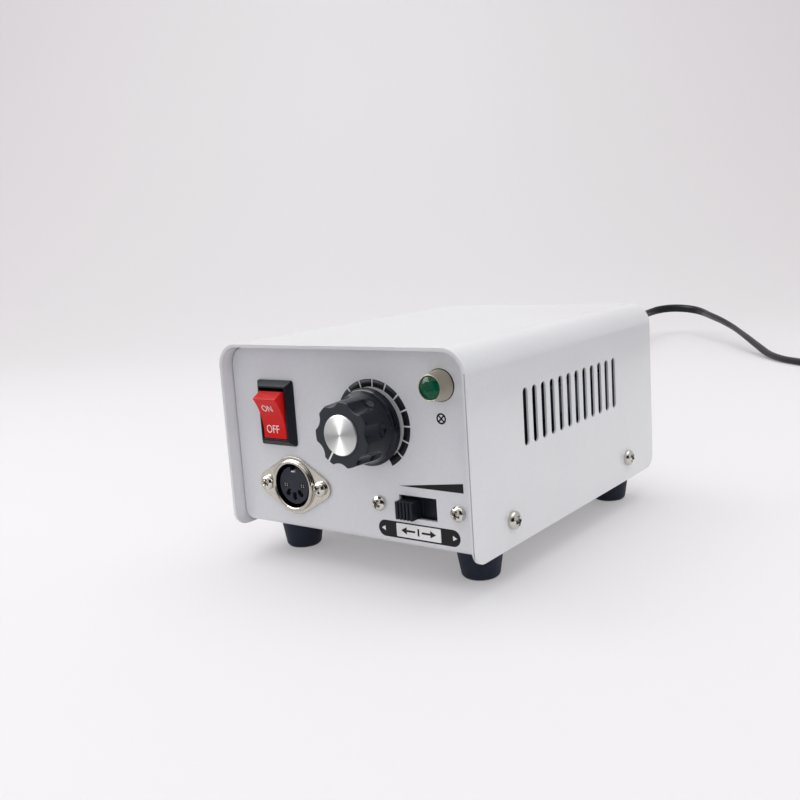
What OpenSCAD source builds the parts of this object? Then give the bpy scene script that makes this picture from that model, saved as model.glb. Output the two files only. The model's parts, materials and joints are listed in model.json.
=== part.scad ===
// Control box of a dental laboratory micromotor: a sheet steel case with the power switch, handpiece socket,
// speed control, pilot lamp and direction switch on its front, and the supply inside it. Millimetres, +Z up.

/* [Case] */
// Outer width of the cover
case_w = 94; // [90:1:120]
// Depth of the cover from its front edge to its rear edge
case_d = 126; // [122:1:160]
// Height of the cover from the lower edge of its side walls
case_h = 61; // [60:1:80]
// Thickness of the sheet steel of cover and chassis
sheet_t = 1; // [0.8:0.1:1.4]
// Outer radius of the two long bends on top of the cover
top_bend_r = 7.5; // [4:0.5:10]
// Radius of the lower corners of the side walls
wall_corner_r = 5; // [2:0.5:8]
// Set-back of the front and rear panels behind the edges of the cover
panel_recess = 4.6; // [3:0.2:8]
// Gap between the chassis and the cover all round
sheet_gap = 0.3; // [0.1:0.1:0.8]
// Height of the pan's underside above the lower edge of the side walls
pan_rise = 1.5; // [0.5:0.1:3]
// Radius of the lower corners of the front and rear panels
panel_corner_r = 4; // [2:0.5:6]
// Outer radius of the bends of the chassis
pan_bend_r = 2; // [1.6:0.1:3]
// Height of the chassis flanges that the cover is screwed to
flange_h = 14; // [12:0.5:18]
// Distance from each panel to the end of a flange
flange_inset = 8; // [6:0.5:10]

/* [Vents] */
// Number of vent slots in each side wall
vent_n = 12; // [6:1:13]
// Distance from one vent slot to the next
vent_pitch = 5.6; // [5:0.1:7]
// Width of a vent slot
vent_w = 2.9; // [2:0.1:3.5]
// Length of a vent slot with its round ends
vent_l = 17.4; // [12:0.2:24]
// Distance from the cover's front edge to the middle of the row of slots
vent_y = 62.4; // [58:0.2:66]
// Height of the middle of the slots above the lower edge of the wall
vent_h = 36.6; // [32:0.2:40]

/* [Cover screws] */
// Diameter of the cover screws
cover_screw_d = 3; // [2.5:0.5:4]
// Diameter of the cover screws' heads
cover_head_d = 5.6; // [5:0.1:7]
// Height of the cover screws' heads
cover_head_h = 2.4; // [1.6:0.1:2.6]
// Distance of the front pair of cover screws from the cover's front edge
cover_screw_front = 21; // [18:0.5:26]
// Distance of the rear pair of cover screws from the cover's rear edge
cover_screw_back = 23.3; // [20:0.1:28]
// Height of the cover screws above the lower edge of the side wall
cover_screw_h = 8.1; // [7:0.1:10]

/* [Feet] */
// Height of the feet under the chassis
foot_h = 11.8; // [9:0.1:16]
// Diameter of a foot at its top
foot_top_d = 15; // [13:0.1:18]
// Diameter of a foot at the table
foot_low_d = 11.7; // [10.5:0.1:13]
// Distance of the feet from the middle of the box, left and right
foot_x = 35.5; // [30:0.5:37]
// Distance of the front feet from the cover's front edge
foot_front = 20.5; // [18:0.5:26]
// Distance of the rear feet from the cover's rear edge
foot_back = 14.5; // [14:0.5:22]
// Diameter of the foot screws
foot_screw_d = 3; // [2.5:0.5:3.5]

/* [Power switch] */
// Place of the power switch, right of the middle of the panel
rocker_x = -27.1; // [-30:0.1:-25]
// Height of the power switch above the lower edge of the cover
rocker_h = 38.8; // [36:0.1:42]
// Width of the switch bezel
bezel_w = 15; // [14.5:0.1:16]
// Height of the switch bezel on the panel
bezel_l = 21; // [20.8:0.1:23]
// Thickness of the switch bezel
bezel_t = 2.3; // [1.5:0.1:2.6]
// Thickness of the bezel at its outer edge
bezel_edge = 0.5; // [0.3:0.1:0.8]
// How far the bezel's sloping sides are drawn in towards its front
bezel_draft = 1.7; // [1.2:0.1:1.8]
// Width of the rocker
rocker_w = 10; // [9:0.1:10.2]
// Distance from the rocker's pivot to each tip, along the rocker
rocker_reach = 6.9; // [6:0.1:7.1]
// Height of the crease in the middle of the rocker above its pivot
rocker_crease = 3.6; // [3:0.1:4]
// Height of the rocker's tips above its pivot
rocker_tip = 4.9; // [4:0.1:5]
// Tilt of the rocker to each side of level
rocker_tilt = 16; // [10:1:18]
// Diameter of the rocker's two pivot pins
rocker_pin_d = 2; // [1.5:0.1:2.4]
// Depth of the switch body behind the panel's front
switch_depth = 14.5; // [13:0.5:18]

/* [Handpiece socket] */
// Place of the socket, right of the middle of the panel
din_x = -22.2; // [-26:0.1:-20]
// Height of the socket above the lower edge of the cover
din_h = 15.7; // [14:0.1:17]
// Distance between the two screws of the socket
din_pitch = 22.3; // [21.5:0.1:24]
// Height of the socket's flange across its middle
din_flange_d = 18.6; // [17.5:0.1:20]
// Radius of the flange's two pointed ends
din_ear_r = 3.7; // [3:0.1:4.2]
// Thickness of the flange
din_flange_t = 0.8; // [0.6:0.1:1.2]
// Diameter of the socket's opening
din_open_d = 14.1; // [13.4:0.1:14.6]
// Height of the collar round the opening
din_collar_h = 2; // [1.4:0.1:2.6]
// Wall of the socket's shell behind the panel
din_wall = 0.8; // [0.5:0.1:1]
// Depth of the socket behind the panel's front
din_depth = 12; // [10:0.5:14]
// Diameter of the black insert
din_insert_d = 12; // [11.4:0.1:12.4]
// Diameter of the circle that the contacts stand on
din_circle_d = 7; // [6.6:0.1:7.4]
// Diameter of the contacts' holes
din_hole_d = 1.7; // [1.6:0.1:1.9]
// Outer diameter of the spring contacts inside the insert
din_contact_d = 2.2; // [2.1:0.1:2.4]
// Diameter of the plug's contact pins that the contacts take
din_pin_d = 1.5; // [1.3:0.1:1.6]

/* [Panel screws] */
// Diameter of the screws of the socket and the slide switch
panel_screw_d = 2.5; // [2:0.1:2.6]
// Diameter of these screws' heads
panel_head_d = 4.8; // [4:0.1:5]
// Height of these screws' heads
panel_head_h = 1.9; // [1.4:0.1:2.1]

/* [Speed control] */
// Place of the speed knob, right of the middle of the panel
knob_x = 10.9; // [9:0.1:12]
// Height of the knob's axis above the lower edge of the cover
knob_h = 37.1; // [36:0.1:40]
// Distance from the panel to the face of the knob's disc
knob_reach = 15.2; // [14.5:0.1:17]
// Gap between the knob's skirt and the panel
knob_lift = 2; // [1.6:0.1:2.3]
// Radius of the knob's skirt
skirt_r = 11.6; // [11.4:0.1:12.6]
// Thickness of the skirt's rim
skirt_t = 0.9; // [0.6:0.1:1.1]
// Radius of the knob's lobes at its front
lobe_r = 9.7; // [9.2:0.1:9.8]
// Number of lobes round the knob
lobe_n = 7; // [5:1:8]
// Depth of the flutes between the lobes at the knob's front
flute_depth = 1.2; // [0.6:0.1:1.5]
// Radius of the flutes between the lobes
flute_r = 4.4; // [3.6:0.1:4.8]
// Distance from the panel to the lowest point of the round-ended cutter that makes the flutes
flute_foot = 5; // [4.6:0.1:5.6]
// Lean of the flutes towards the front
flute_lean = 4; // [3:1:6]
// Diameter of the knob's aluminium disc
disc_d = 11.8; // [11:0.1:13]
// Thickness of the knob's aluminium disc
disc_t = 0.8; // [0.6:0.1:1]
// Width of the pointer groove
pointer_w = 0.6; // [0.5:0.1:1.2]
// Angle of the pointer at rest, anticlockwise from straight up
pointer_turn = 146; // [140:1:150]
// Diameter of the potentiometer's shaft
shaft_d = 6; // [5:0.1:6.2]
// Outer diameter of the potentiometer's bush
bush_d = 7.6; // [7.4:0.1:8]
// Diameter of the potentiometer's can
pot_d = 16.5; // [15:0.5:17]
// Depth of the potentiometer's can
pot_t = 8.5; // [7:0.5:10]

/* [Pilot lamp] */
// Place of the lamp, right of the middle of the panel
lamp_x = 35.7; // [34:0.1:36]
// Distance from the top of the cover down to the lamp
lamp_drop = 11; // [10.5:0.1:14]
// Diameter of the lamp's body at the panel
lamp_base_d = 9; // [8.6:0.1:10]
// Diameter of the lamp's rim
lamp_rim_d = 7.4; // [7.2:0.1:7.8]
// Distance from the panel to the lamp's rim
lamp_reach = 5.3; // [4:0.1:7]
// Diameter of the lens
lens_d = 6.7; // [6.4:0.1:6.8]
// Diameter of the lamp's threaded body behind the panel
lamp_thread_d = 7.9; // [7.4:0.1:8.1]

/* [Direction switch] */
// Place of the slide switch, right of the middle of the panel
slide_x = 25.4; // [24:0.1:26]
// Height of the slide switch above the lower edge of the cover
slide_h = 13.6; // [12:0.1:16]
// Width of the slot in the panel
slot_w = 13.2; // [12.6:0.1:14]
// Height of the slot in the panel
slot_l = 6.8; // [6.4:0.1:7.4]
// Distance between the two screws of the slide switch
slide_pitch = 28; // [27:0.5:30]
// Width of the slider's thumb piece
thumb_w = 6.1; // [5.4:0.1:6.2]
// Height of the slider's thumb piece
thumb_h = 5.4; // [5:0.1:5.6]
// Distance that the thumb piece stands out of the panel
thumb_reach = 3.3; // [2.4:0.1:4]
// Number of ribs on the thumb piece
thumb_rib_n = 5; // [3:1:6]
// Travel of the slider
slide_travel = 5; // [4:0.1:5.2]

/* [Transformer] */
// Width of the core, along the depth of the box
core_w = 57; // [54:0.5:58]
// Height of the core
core_h = 47.5; // [44:0.5:49]
// Thickness of the stack of laminations, across the box
core_t = 25; // [20:0.5:26]
// Width of the core's outer legs
core_leg = 9.5; // [9:0.1:10]
// Place of the transformer, right of the middle of the box
core_x = 19; // [17:0.5:21]
// How far the winding stands out of each side of the core
winding_bulge = 8; // [6:0.5:9]
// Thickness of the steel strap
strap_t = 1.2; // [1:0.1:1.5]
// Width of the steel strap
strap_w = 22; // [18:0.5:23]
// Length of the strap's feet
strap_foot = 9; // [8:0.5:9.5]
// Diameter of the transformer screws
core_screw_d = 4; // [3:0.5:4]

/* [Circuit board] */
// Width of the circuit board, across the box
board_w = 32; // [30:0.5:34]
// Length of the circuit board, along the depth of the box
board_l = 60; // [56:1:62]
// Thickness of the circuit board
board_t = 1.6; // [1.2:0.1:2]
// Height of the spacers under the circuit board
spacer_h = 6; // [5:0.5:8]
// Place of the circuit board, right of the middle of the box
board_x = -25; // [-26:0.5:-24]
// Distance from the cover's front edge to the middle of the circuit board
board_y = 72; // [70:0.5:74]
// Distance from the board's edges to its screws
board_inset = 4; // [3.5:0.5:5]
// Diameter of the board screws
board_screw_d = 3; // [2.5:0.5:3]
// Diameter of the two capacitors
capacitor_d = 13; // [10:0.5:14]
// Height of the two capacitors
capacitor_h = 25; // [16:0.5:28]
// Number of fins on the heat sink
fin_n = 5; // [3:1:6]
// Height of the heat sink
sink_h = 22; // [18:0.5:26]

/* [Fuse holder] */
// Place of the fuse holder, right of the middle of the rear panel as seen from the front
fuse_x = -13; // [-14:0.5:-11]
// Height of the fuse holder above the lower edge of the cover
fuse_h = 41; // [40:0.5:44]
// Distance from the rear panel to the end of the fuse cap
fuse_reach = 11; // [9:0.5:14]
// Diameter of the fuse cap
fuse_cap_d = 12.6; // [11.5:0.1:13.5]
// Diameter of the fuse holder's body behind the panel
fuse_body_d = 12; // [11:0.5:12.5]
// Depth of the fuse holder behind the panel
fuse_depth = 27; // [26:0.5:30]

/* [Mains lead] */
// Place of the mains lead, right of the middle of the rear panel as seen from the front
cord_x = -33; // [-34:0.5:-32]
// Height of the mains lead above the table where it leaves the rear panel
cord_h = 45; // [43:0.5:47]
// Width of the flat two-core lead
cord_w = 6.6; // [6:0.1:7]
// Thickness of the flat two-core lead
cord_t = 4.3; // [3.8:0.1:4.5]
// Length of the strain relief outside the rear panel
relief_l = 32; // [28:0.5:34]
// Diameter of the strain relief at its root
relief_root_d = 10.4; // [9.6:0.1:11]
// Diameter of the strain relief at its tip
relief_tip_d = 8.4; // [7.6:0.1:8.8]
// Number of full loops in the put-away coil
coil_turns = 4; // [3:1:4]
// Radius of the coil's outermost loop, on the lead's centre line
coil_r = 34; // [31:0.5:36]
// Width of the plug's face
plug_w = 35.3; // [33:0.1:36]
// Thickness of the plug
plug_t = 13.7; // [13:0.1:14.4]
// Length of the plug's body
plug_l = 36; // [32:0.5:40]
// Length of the plug's pins
pin_l = 19; // [18:0.5:19.5]
// Diameter of the plug's pins
pin_d = 4; // [3.9:0.1:4.8]
// Distance between the plug's pins
pin_pitch = 18.6; // [17.5:0.1:19]

/* [Hidden] */
$fn = 48;

// Clearance of a screw or a pressed piece in its hole, on the diameter
fit_gap = 0.1;
// Running clearance of a pin or shaft in its bore, on the diameter
running_gap = 0.1;
// How far a cutter runs past the face that it cuts
over = 1;

// The middle of the box from its front to its rear extreme, measured from the cover's front edge
knob_face_y = panel_recess - knob_reach;
fuse_end_y = case_d - panel_recess + fuse_reach;
front_y = -(knob_face_y + fuse_end_y) / 2;
panel_y = front_y + panel_recess;
back_y = front_y + case_d - panel_recess;

// Heights above the table
sill_z = foot_h - pan_rise;
pan_z = foot_h;
deck_z = pan_z + sheet_t;

// The chassis inside the cover
pan_w = case_w - 2 * (sheet_t + sheet_gap);
pan_d = case_d - 2 * panel_recess;
panel_h = case_h - sheet_t - sheet_gap - pan_rise;
panel_top_r = top_bend_r - sheet_t - sheet_gap;

// Hole for a screw, and a nut across its flats
function hole_for(d) = d + 2 * fit_gap;
function nut_flats(d) = d < 2.8 ? 2 * d : d < 3.6 ? 1.83 * d : 1.75 * d;
function nut_height(d) = 0.8 * d;

// Pieces are drawn on the panels, walls and deck with the third axis pointing out of the sheet's outer face
module on_panel(x, h) {
    translate([x, panel_y, sill_z + h]) rotate([90, 0, 0]) children();
}

module on_back(x, h) {
    translate([x, back_y, sill_z + h]) rotate([90, 0, 180]) children();
}

module on_wall(side) {
    mirror([side < 0 ? 1 : 0, 0, 0]) translate([case_w / 2, front_y, sill_z]) rotate([90, 0, 90]) children();
}

module on_deck(x, y) {
    translate([x, front_y + y, deck_z]) children();
}

module round_rect(w, h, r) {
    square([w - 2 * r, h], center = true);
    square([w, h - 2 * r], center = true);
    for (x = [-1, 1], y = [-1, 1])
        translate([x * (w / 2 - r), y * (h / 2 - r)]) circle(r);
}

module slot(w, l) {
    square([w, l - w], center = true);
    for (y = [-1, 1])
        translate([0, y * (l - w) / 2]) circle(d = w);
}

// A screw with its head's seat at zero: a domed head with a cross recess above, the shank below
module pan_screw(d, head_d, head_h, length) {
    dome_r = (head_d * head_d / 4 + head_h * head_h) / (2 * head_h);
    recess_w = head_d * 0.17;
    recess_l = head_d * 0.56;
    difference() {
        rotate_extrude() intersection() {
            translate([0, head_h - dome_r]) circle(dome_r, $fn = 96);
            square([head_d / 2, head_h]);
        }
        for (turn = [0, 90])
            rotate(turn)
                translate([-recess_w / 2, -recess_l / 2, head_h * 0.45]) cube([recess_w, recess_l, head_h]);
    }
    translate([0, 0, -length]) cylinder(d = d, h = length);
}

module hex_nut(flats, height, bore) {
    difference() {
        cylinder(d = flats / cos(30), h = height, $fn = 6);
        translate([0, 0, -over]) cylinder(d = bore, h = height + 2 * over);
    }
}

// Case

// Outline of the folded cover: upright sides with the two top corners rounded
module arch(w, h, r) {
    translate([-w / 2, 0]) square([w, h - r]);
    translate([r - w / 2, 0]) square([w - 2 * r, h]);
    for (x = [-1, 1])
        translate([x * (w / 2 - r), h - r]) circle(r, $fn = 96);
}

module corner_scrap(r) {
    difference() {
        translate([-over, -over]) square(r + over);
        translate([r, r]) circle(r, $fn = 64);
    }
}

module vents(through) {
    for (i = [0 : vent_n - 1])
        translate([vent_y + (i - (vent_n - 1) / 2) * vent_pitch, vent_h, -through])
            linear_extrude(through + over) slot(vent_w, vent_l);
}

module at_cover_screws() {
    for (side = [-1, 1], y = [cover_screw_front, case_d - cover_screw_back])
        on_wall(side) translate([y, cover_screw_h, 0]) children();
}

module cover() {
    color([0.86, 0.86, 0.88]) difference() {
        translate([0, front_y + case_d, sill_z]) rotate([90, 0, 0]) linear_extrude(case_d) difference() {
            arch(case_w, case_h, top_bend_r);
            translate([0, -over])
                arch(case_w - 2 * sheet_t, case_h - sheet_t + over, top_bend_r - sheet_t);
        }
        for (side = [-1, 1])
            on_wall(side) {
                vents(2 * sheet_t);
                for (end = [0, 1])
                    translate([end * case_d, 0, -2 * sheet_t]) mirror([end, 0, 0])
                        linear_extrude(2 * sheet_t + over) corner_scrap(wall_corner_r);
            }
        at_cover_screws() translate([0, 0, -2 * sheet_t])
            cylinder(d = hole_for(cover_screw_d), h = 2 * sheet_t + over);
    }
}

// Outline of a sheet folded up at both ends
module trough(w, h, r, t) {
    module filled(w, h, r) {
        translate([0, r]) square([w, h - r]);
        translate([r, 0]) square([w - 2 * r, h]);
        for (x = [r, w - r])
            translate([x, r]) circle(r);
    }
    difference() {
        filled(w, h, r);
        translate([t, t]) filled(w - 2 * t, h, r - t);
    }
}

module chassis_sheet() {
    translate([-pan_w / 2, panel_y, pan_z]) rotate([90, 0, 90])
        linear_extrude(pan_w) trough(pan_d, panel_h, pan_bend_r, sheet_t);
    translate([-pan_w / 2, back_y - flange_inset, pan_z]) rotate([90, 0, 0])
        linear_extrude(pan_d - 2 * flange_inset) trough(pan_w, flange_h, pan_bend_r, sheet_t);
}

module chassis_corners() {
    for (side = [0, 1]) mirror([side, 0, 0]) {
        translate([-pan_w / 2, back_y + over, pan_z + panel_h]) rotate([90, 0, 0])
            linear_extrude(pan_d + 2 * over) mirror([0, 1]) corner_scrap(panel_top_r);
        for (y = [panel_y + panel_corner_r, back_y + over])
            translate([-pan_w / 2, y, pan_z]) rotate([90, 0, 0])
                linear_extrude(panel_corner_r + over) corner_scrap(panel_corner_r);
    }
}

module through_panel() {
    translate([0, 0, -2 * sheet_t]) linear_extrude(2 * sheet_t + over) children();
}

module chassis() {
    color([0.78, 0.78, 0.80]) difference() {
        chassis_sheet();
        chassis_corners();
        on_panel(rocker_x, rocker_h) through_panel()
            square([switch_w + 2 * fit_gap, switch_l + 2 * fit_gap], center = true);
        on_panel(din_x, din_h) through_panel() circle(d = din_tube_d + 2 * fit_gap);
        at_din_screws() through_panel() circle(d = hole_for(panel_screw_d));
        on_panel(knob_x, knob_h) through_panel() circle(d = hole_for(bush_d));
        on_panel(lamp_x, lamp_h) through_panel() circle(d = hole_for(lamp_thread_d));
        on_panel(slide_x, slide_h) through_panel() square([slot_w, slot_l], center = true);
        at_slide_screws() through_panel() circle(d = hole_for(panel_screw_d));
        on_back(fuse_x, fuse_h) through_panel() circle(d = hole_for(fuse_body_d));
        on_back(cord_x, cord_h - sill_z) through_panel() circle(d = hole_for(relief_root_d));
        at_cover_screws() translate([0, 0, -3 * sheet_t])
            cylinder(d = hole_for(cover_screw_d), h = 3 * sheet_t);
        at_feet() deck_hole(foot_screw_d);
        at_strap_feet() deck_hole(core_screw_d);
        at_board_screws() deck_hole(board_screw_d);
    }
}

module deck_hole(d) {
    translate([0, 0, -2 * sheet_t]) cylinder(d = hole_for(d), h = 3 * sheet_t);
}

module cover_screws() {
    color([0.75, 0.75, 0.77]) at_cover_screws()
        pan_screw(cover_screw_d, cover_head_d, cover_head_h, 6);
}

// Feet

foot_wall = 5;
foot_chamfer = 0.8;
foot_recess_d = 2.2 * foot_screw_d;

module at_feet() {
    for (x = [-foot_x, foot_x], y = [foot_front, case_d - foot_back])
        on_deck(x, y) children();
}

module feet() {
    color([0.05, 0.05, 0.05]) at_feet() translate([0, 0, -sheet_t - foot_h]) difference() {
        rotate_extrude() polygon([
            [0, 0], [foot_low_d / 2 - foot_chamfer, 0], [foot_low_d / 2, foot_chamfer],
            [foot_top_d / 2, foot_h - foot_chamfer], [foot_top_d / 2, foot_h], [0, foot_h]
        ]);
        translate([0, 0, -over]) cylinder(d = hole_for(foot_screw_d), h = foot_h + 2 * over);
        translate([0, 0, -over]) cylinder(d = foot_recess_d, h = foot_h - foot_wall + over);
    }
}

// A screw that comes up through the deck from below, with its head's seat a given drop under the deck
module screw_up(d, drop, length) {
    translate([0, 0, -sheet_t - drop]) mirror([0, 0, 1]) pan_screw(d, 1.95 * d, 0.7 * d, length);
}

module foot_screws() {
    color([0.7, 0.7, 0.72]) at_feet()
        screw_up(foot_screw_d, foot_wall, foot_wall + sheet_t + nut_height(foot_screw_d) + 1);
}

module foot_nuts() {
    color([0.7, 0.7, 0.72]) at_feet()
        hex_nut(nut_flats(foot_screw_d), nut_height(foot_screw_d), hole_for(foot_screw_d));
}

// Power switch

switch_w = bezel_w - 2.1;
switch_l = bezel_l - 2.1;
well_w = rocker_w + 0.5;
well_l = 2 * (rocker_reach * cos(rocker_tilt) + rocker_tip * sin(rocker_tilt) + 0.2);
well_depth = 8;
pivot_z = -0.5;
rocker_shoulder = rocker_reach + 1;
rocker_heel = 5.2;
blade_w = 4.8;
blade_t = 0.8;
blade_l = 9;
blade_root = 3;
blade_y = 4.5;

// A frame's outer form: four sides that slope in to the front from a thin upright edge and meet in mitres
module sloped_block(w, l, t, edge, draft) {
    module side(w) {
        polygon([
            [-w / 2, 0], [w / 2, 0], [w / 2, edge],
            [w / 2 - draft, t], [draft - w / 2, t], [-w / 2, edge]
        ]);
    }
    intersection() {
        rotate([90, 0, 0]) linear_extrude(l, center = true) side(w);
        rotate([90, 0, 90]) linear_extrude(w, center = true) side(l);
        linear_extrude(t) round_rect(w, l, 1);
    }
}

module switch_wing() {
    rotate([90, 0, 90]) linear_extrude(switch_w / 2, center = true) polygon([
        [switch_l / 2 - 0.1, -sheet_t - fit_gap], [switch_l / 2 + 0.8, -sheet_t - fit_gap],
        [switch_l / 2, -sheet_t - 5], [switch_l / 2 - 0.1, -sheet_t - 5]
    ]);
}

module power_switch_body() {
    color([0.06, 0.06, 0.07]) on_panel(rocker_x, rocker_h) difference() {
        union() {
            sloped_block(bezel_w, bezel_l, bezel_t, bezel_edge, bezel_draft);
            translate([0, 0, -switch_depth])
                linear_extrude(switch_depth + 0.5) square([switch_w, switch_l], center = true);
            for (side = [0, 1])
                mirror([0, side, 0]) switch_wing();
        }
        translate([0, 0, -well_depth])
            linear_extrude(well_depth + bezel_t + over) square([well_w, well_l], center = true);
        translate([0, 0, pivot_z]) rotate([0, 90, 0])
            cylinder(d = rocker_pin_d + running_gap, h = well_w + 1.6, center = true);
        at_blades() translate([0, 0, blade_root / 2])
            cube([blade_w, blade_t, blade_root], center = true);
    }
}

module at_blades() {
    for (y = [-blade_y, blade_y])
        translate([0, y, -switch_depth]) children();
}

module power_switch_terminals() {
    color([0.8, 0.78, 0.7]) on_panel(rocker_x, rocker_h) at_blades() difference() {
        translate([0, 0, (blade_root - blade_l) / 2])
            cube([blade_w, blade_t, blade_l + blade_root], center = true);
        translate([0, 0, -blade_l * 0.6]) rotate([90, 0, 0])
            cylinder(d = 1.6, h = blade_t + 2 * over, center = true);
    }
}

// The rocker at rest, its upper end out and its lower end pressed in
module power_rocker() {
    color([0.78, 0.16, 0.17]) on_panel(rocker_x, rocker_h) translate([0, 0, pivot_z])
        rotate([rocker_tilt, 0, 0]) {
            rotate([90, 0, 90]) linear_extrude(rocker_w, center = true) polygon([
                [0, rocker_crease], [rocker_reach, rocker_tip], [rocker_shoulder, 1],
                [rocker_heel, -3.6], [-rocker_heel, -3.6],
                [-rocker_shoulder, 1], [-rocker_reach, rocker_tip]
            ]);
            rotate([0, 90, 0]) cylinder(d = rocker_pin_d, h = well_w + 1.2, center = true);
        }
}

// Handpiece socket

din_tube_d = din_open_d + 2 * din_wall;
din_base_t = 4;
din_key_w = 2.2;
din_key_depth = 1.5;
din_front_z = 0.8;
din_tail_l = 5;
din_contact_drop = 1.2;
// Angles of the five contacts, the outer two level with the centre and the rest below it
din_angles = [180, 225, 270, 315, 360];

module at_din_screws() {
    on_panel(din_x, din_h) for (x = [-din_pitch / 2, din_pitch / 2])
        translate([x, 0, 0]) children();
}

// Outline of the flange: a round middle that runs straight into two small round ears. The straight edges
// cut a hair into the circles, so that they cross them cleanly.
module din_outline() {
    r = din_flange_d / 2;
    reach = din_pitch / 2;
    lean = acos((r - din_ear_r) / reach);
    along = 0.995 * [cos(lean), sin(lean)];
    circle(r, $fn = 96);
    for (side = [0, 1]) mirror([side, 0]) {
        translate([reach, 0]) circle(din_ear_r);
        for (half = [0, 1]) mirror([0, half])
            polygon([[0, 0], [reach, 0], [reach, 0] + din_ear_r * along, r * along]);
    }
}

module din_shell() {
    rim = din_wall + 0.45;
    inner = din_open_d / 2;
    rounding = [for (a = [0 : 30 : 180])
        [inner + rim / 2 + rim / 2 * cos(a), din_collar_h - rim / 2 + rim / 2 * sin(a)]];
    color([0.8, 0.78, 0.74]) on_panel(din_x, din_h) {
        linear_extrude(din_flange_t) difference() {
            din_outline();
            circle(inner + din_wall / 2, $fn = 96);
            for (x = [-din_pitch / 2, din_pitch / 2])
                translate([x, 0]) circle(d = hole_for(panel_screw_d));
        }
        rotate_extrude($fn = 96) polygon(concat(
            [[inner, -din_depth], [inner + din_wall, -din_depth],
             [inner + din_wall, 0.1], [inner + rim, 0.1]],
            rounding
        ));
    }
}

module din_insert() {
    color([0.05, 0.05, 0.05]) on_panel(din_x, din_h) difference() {
        union() {
            translate([0, 0, -din_depth])
                cylinder(d = din_open_d - fit_gap, h = din_base_t, $fn = 96);
            translate([0, 0, -din_depth])
                cylinder(d = din_insert_d, h = din_depth + din_front_z, $fn = 96);
        }
        translate([-din_key_w / 2, din_insert_d / 2 - din_key_depth, din_base_t - din_depth])
            cube([din_key_w, 2 * din_key_depth, 2 * din_depth]);
        for (a = din_angles)
            rotate(a) translate([din_circle_d / 2, 0, 0]) {
                translate([0, 0, -din_depth - over])
                    cylinder(d = din_contact_d + fit_gap, h = din_depth + over - din_contact_drop);
                translate([0, 0, -din_depth]) linear_extrude(din_depth + din_front_z + over)
                    if (a > 180 && a < 360) rotate(90) slot(din_hole_d, 1.6 * din_hole_d);
                    else circle(d = din_hole_d);
            }
    }
}

module din_contacts() {
    color([0.83, 0.68, 0.35]) on_panel(din_x, din_h) for (a = din_angles)
        rotate(a) translate([din_circle_d / 2, 0, 0]) difference() {
            union() {
                translate([0, 0, -din_depth])
                    cylinder(d = din_contact_d, h = din_depth - din_contact_drop - fit_gap);
                translate([0, 0, -din_depth - din_tail_l]) cylinder(d = 1.1, h = din_tail_l + 1);
            }
            translate([0, 0, 2 - din_depth]) cylinder(d = din_pin_d, h = din_depth);
        }
}

module din_nuts() {
    height = nut_height(panel_screw_d);
    color([0.75, 0.75, 0.77]) at_din_screws() translate([0, 0, -sheet_t - height])
        hex_nut(nut_flats(panel_screw_d), height, hole_for(panel_screw_d));
}

module panel_screws() {
    color([0.78, 0.77, 0.74]) {
        at_din_screws() translate([0, 0, din_flange_t])
            pan_screw(panel_screw_d, panel_head_d, panel_head_h, 6);
        at_slide_screws() pan_screw(panel_screw_d, panel_head_d, panel_head_h, 5);
    }
}

// Speed control

knob_face_z = knob_reach - disc_t * 0.75;
skirt_step = 0.35;
skirt_top = knob_lift + skirt_t;
knob_hollow_d = 14;
knob_hollow_z = 6.2;
bush_reach = 5.2;
washer_t = 0.5;
pot_nut_h = 2.2;
pot_nut_flats = 10;

// Half section of the knob: a stepped skirt, a flare and a nearly straight front
knob_section = [
    [0, knob_lift], [skirt_r, knob_lift], [skirt_r, skirt_top],
    [skirt_r - skirt_step, skirt_top], [skirt_r - skirt_step, skirt_top + skirt_step],
    [lobe_r + 1.05, skirt_top + 0.8], [lobe_r + 0.65, skirt_top + 2],
    [lobe_r + 0.35, skirt_top + 3.8], [lobe_r + 0.15, skirt_top + 6.5],
    [lobe_r, knob_face_z - 0.9], [lobe_r - 0.25, knob_face_z - 0.3],
    [lobe_r - 0.8, knob_face_z], [0, knob_face_z]
];

module at_knob() {
    on_panel(knob_x, knob_h) rotate(pointer_turn) children();
}

module knob_flutes() {
    for (i = [0 : lobe_n - 1])
        rotate(90 + (i + 0.5) * 360 / lobe_n)
            translate([lobe_r - flute_depth + flute_r, 0, knob_face_z]) rotate([0, -flute_lean, 0])
                translate([0, 0, flute_foot + flute_r - knob_face_z]) {
                    cylinder(r = flute_r, h = knob_face_z);
                    sphere(flute_r);
                }
}

module speed_knob() {
    color([0.06, 0.06, 0.07]) at_knob() difference() {
        rotate_extrude($fn = 96) polygon(knob_section);
        knob_flutes();
        translate([0, 0, knob_lift - over]) cylinder(d = knob_hollow_d, h = knob_hollow_z - knob_lift + over);
        translate([0, 0, knob_reach - disc_t]) cylinder(d = disc_d + fit_gap, h = disc_t + over, $fn = 96);
        cylinder(d = shaft_d, h = shaft_top_z);
        translate([-pointer_w / 2, disc_d / 2, knob_face_z - 0.3])
            cube([pointer_w, lobe_r, over]);
    }
}

module knob_disc() {
    color([0.85, 0.85, 0.86]) at_knob() translate([0, 0, knob_reach - disc_t])
        cylinder(d = disc_d, h = disc_t, $fn = 96);
}

shaft_top_z = 12.5;
shaft_low_z = -sheet_t - pot_t + 1.2;

module pot_shaft() {
    color([0.75, 0.75, 0.76]) at_knob() translate([0, 0, shaft_low_z])
        cylinder(d = shaft_d, h = shaft_top_z - shaft_low_z);
}

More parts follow.
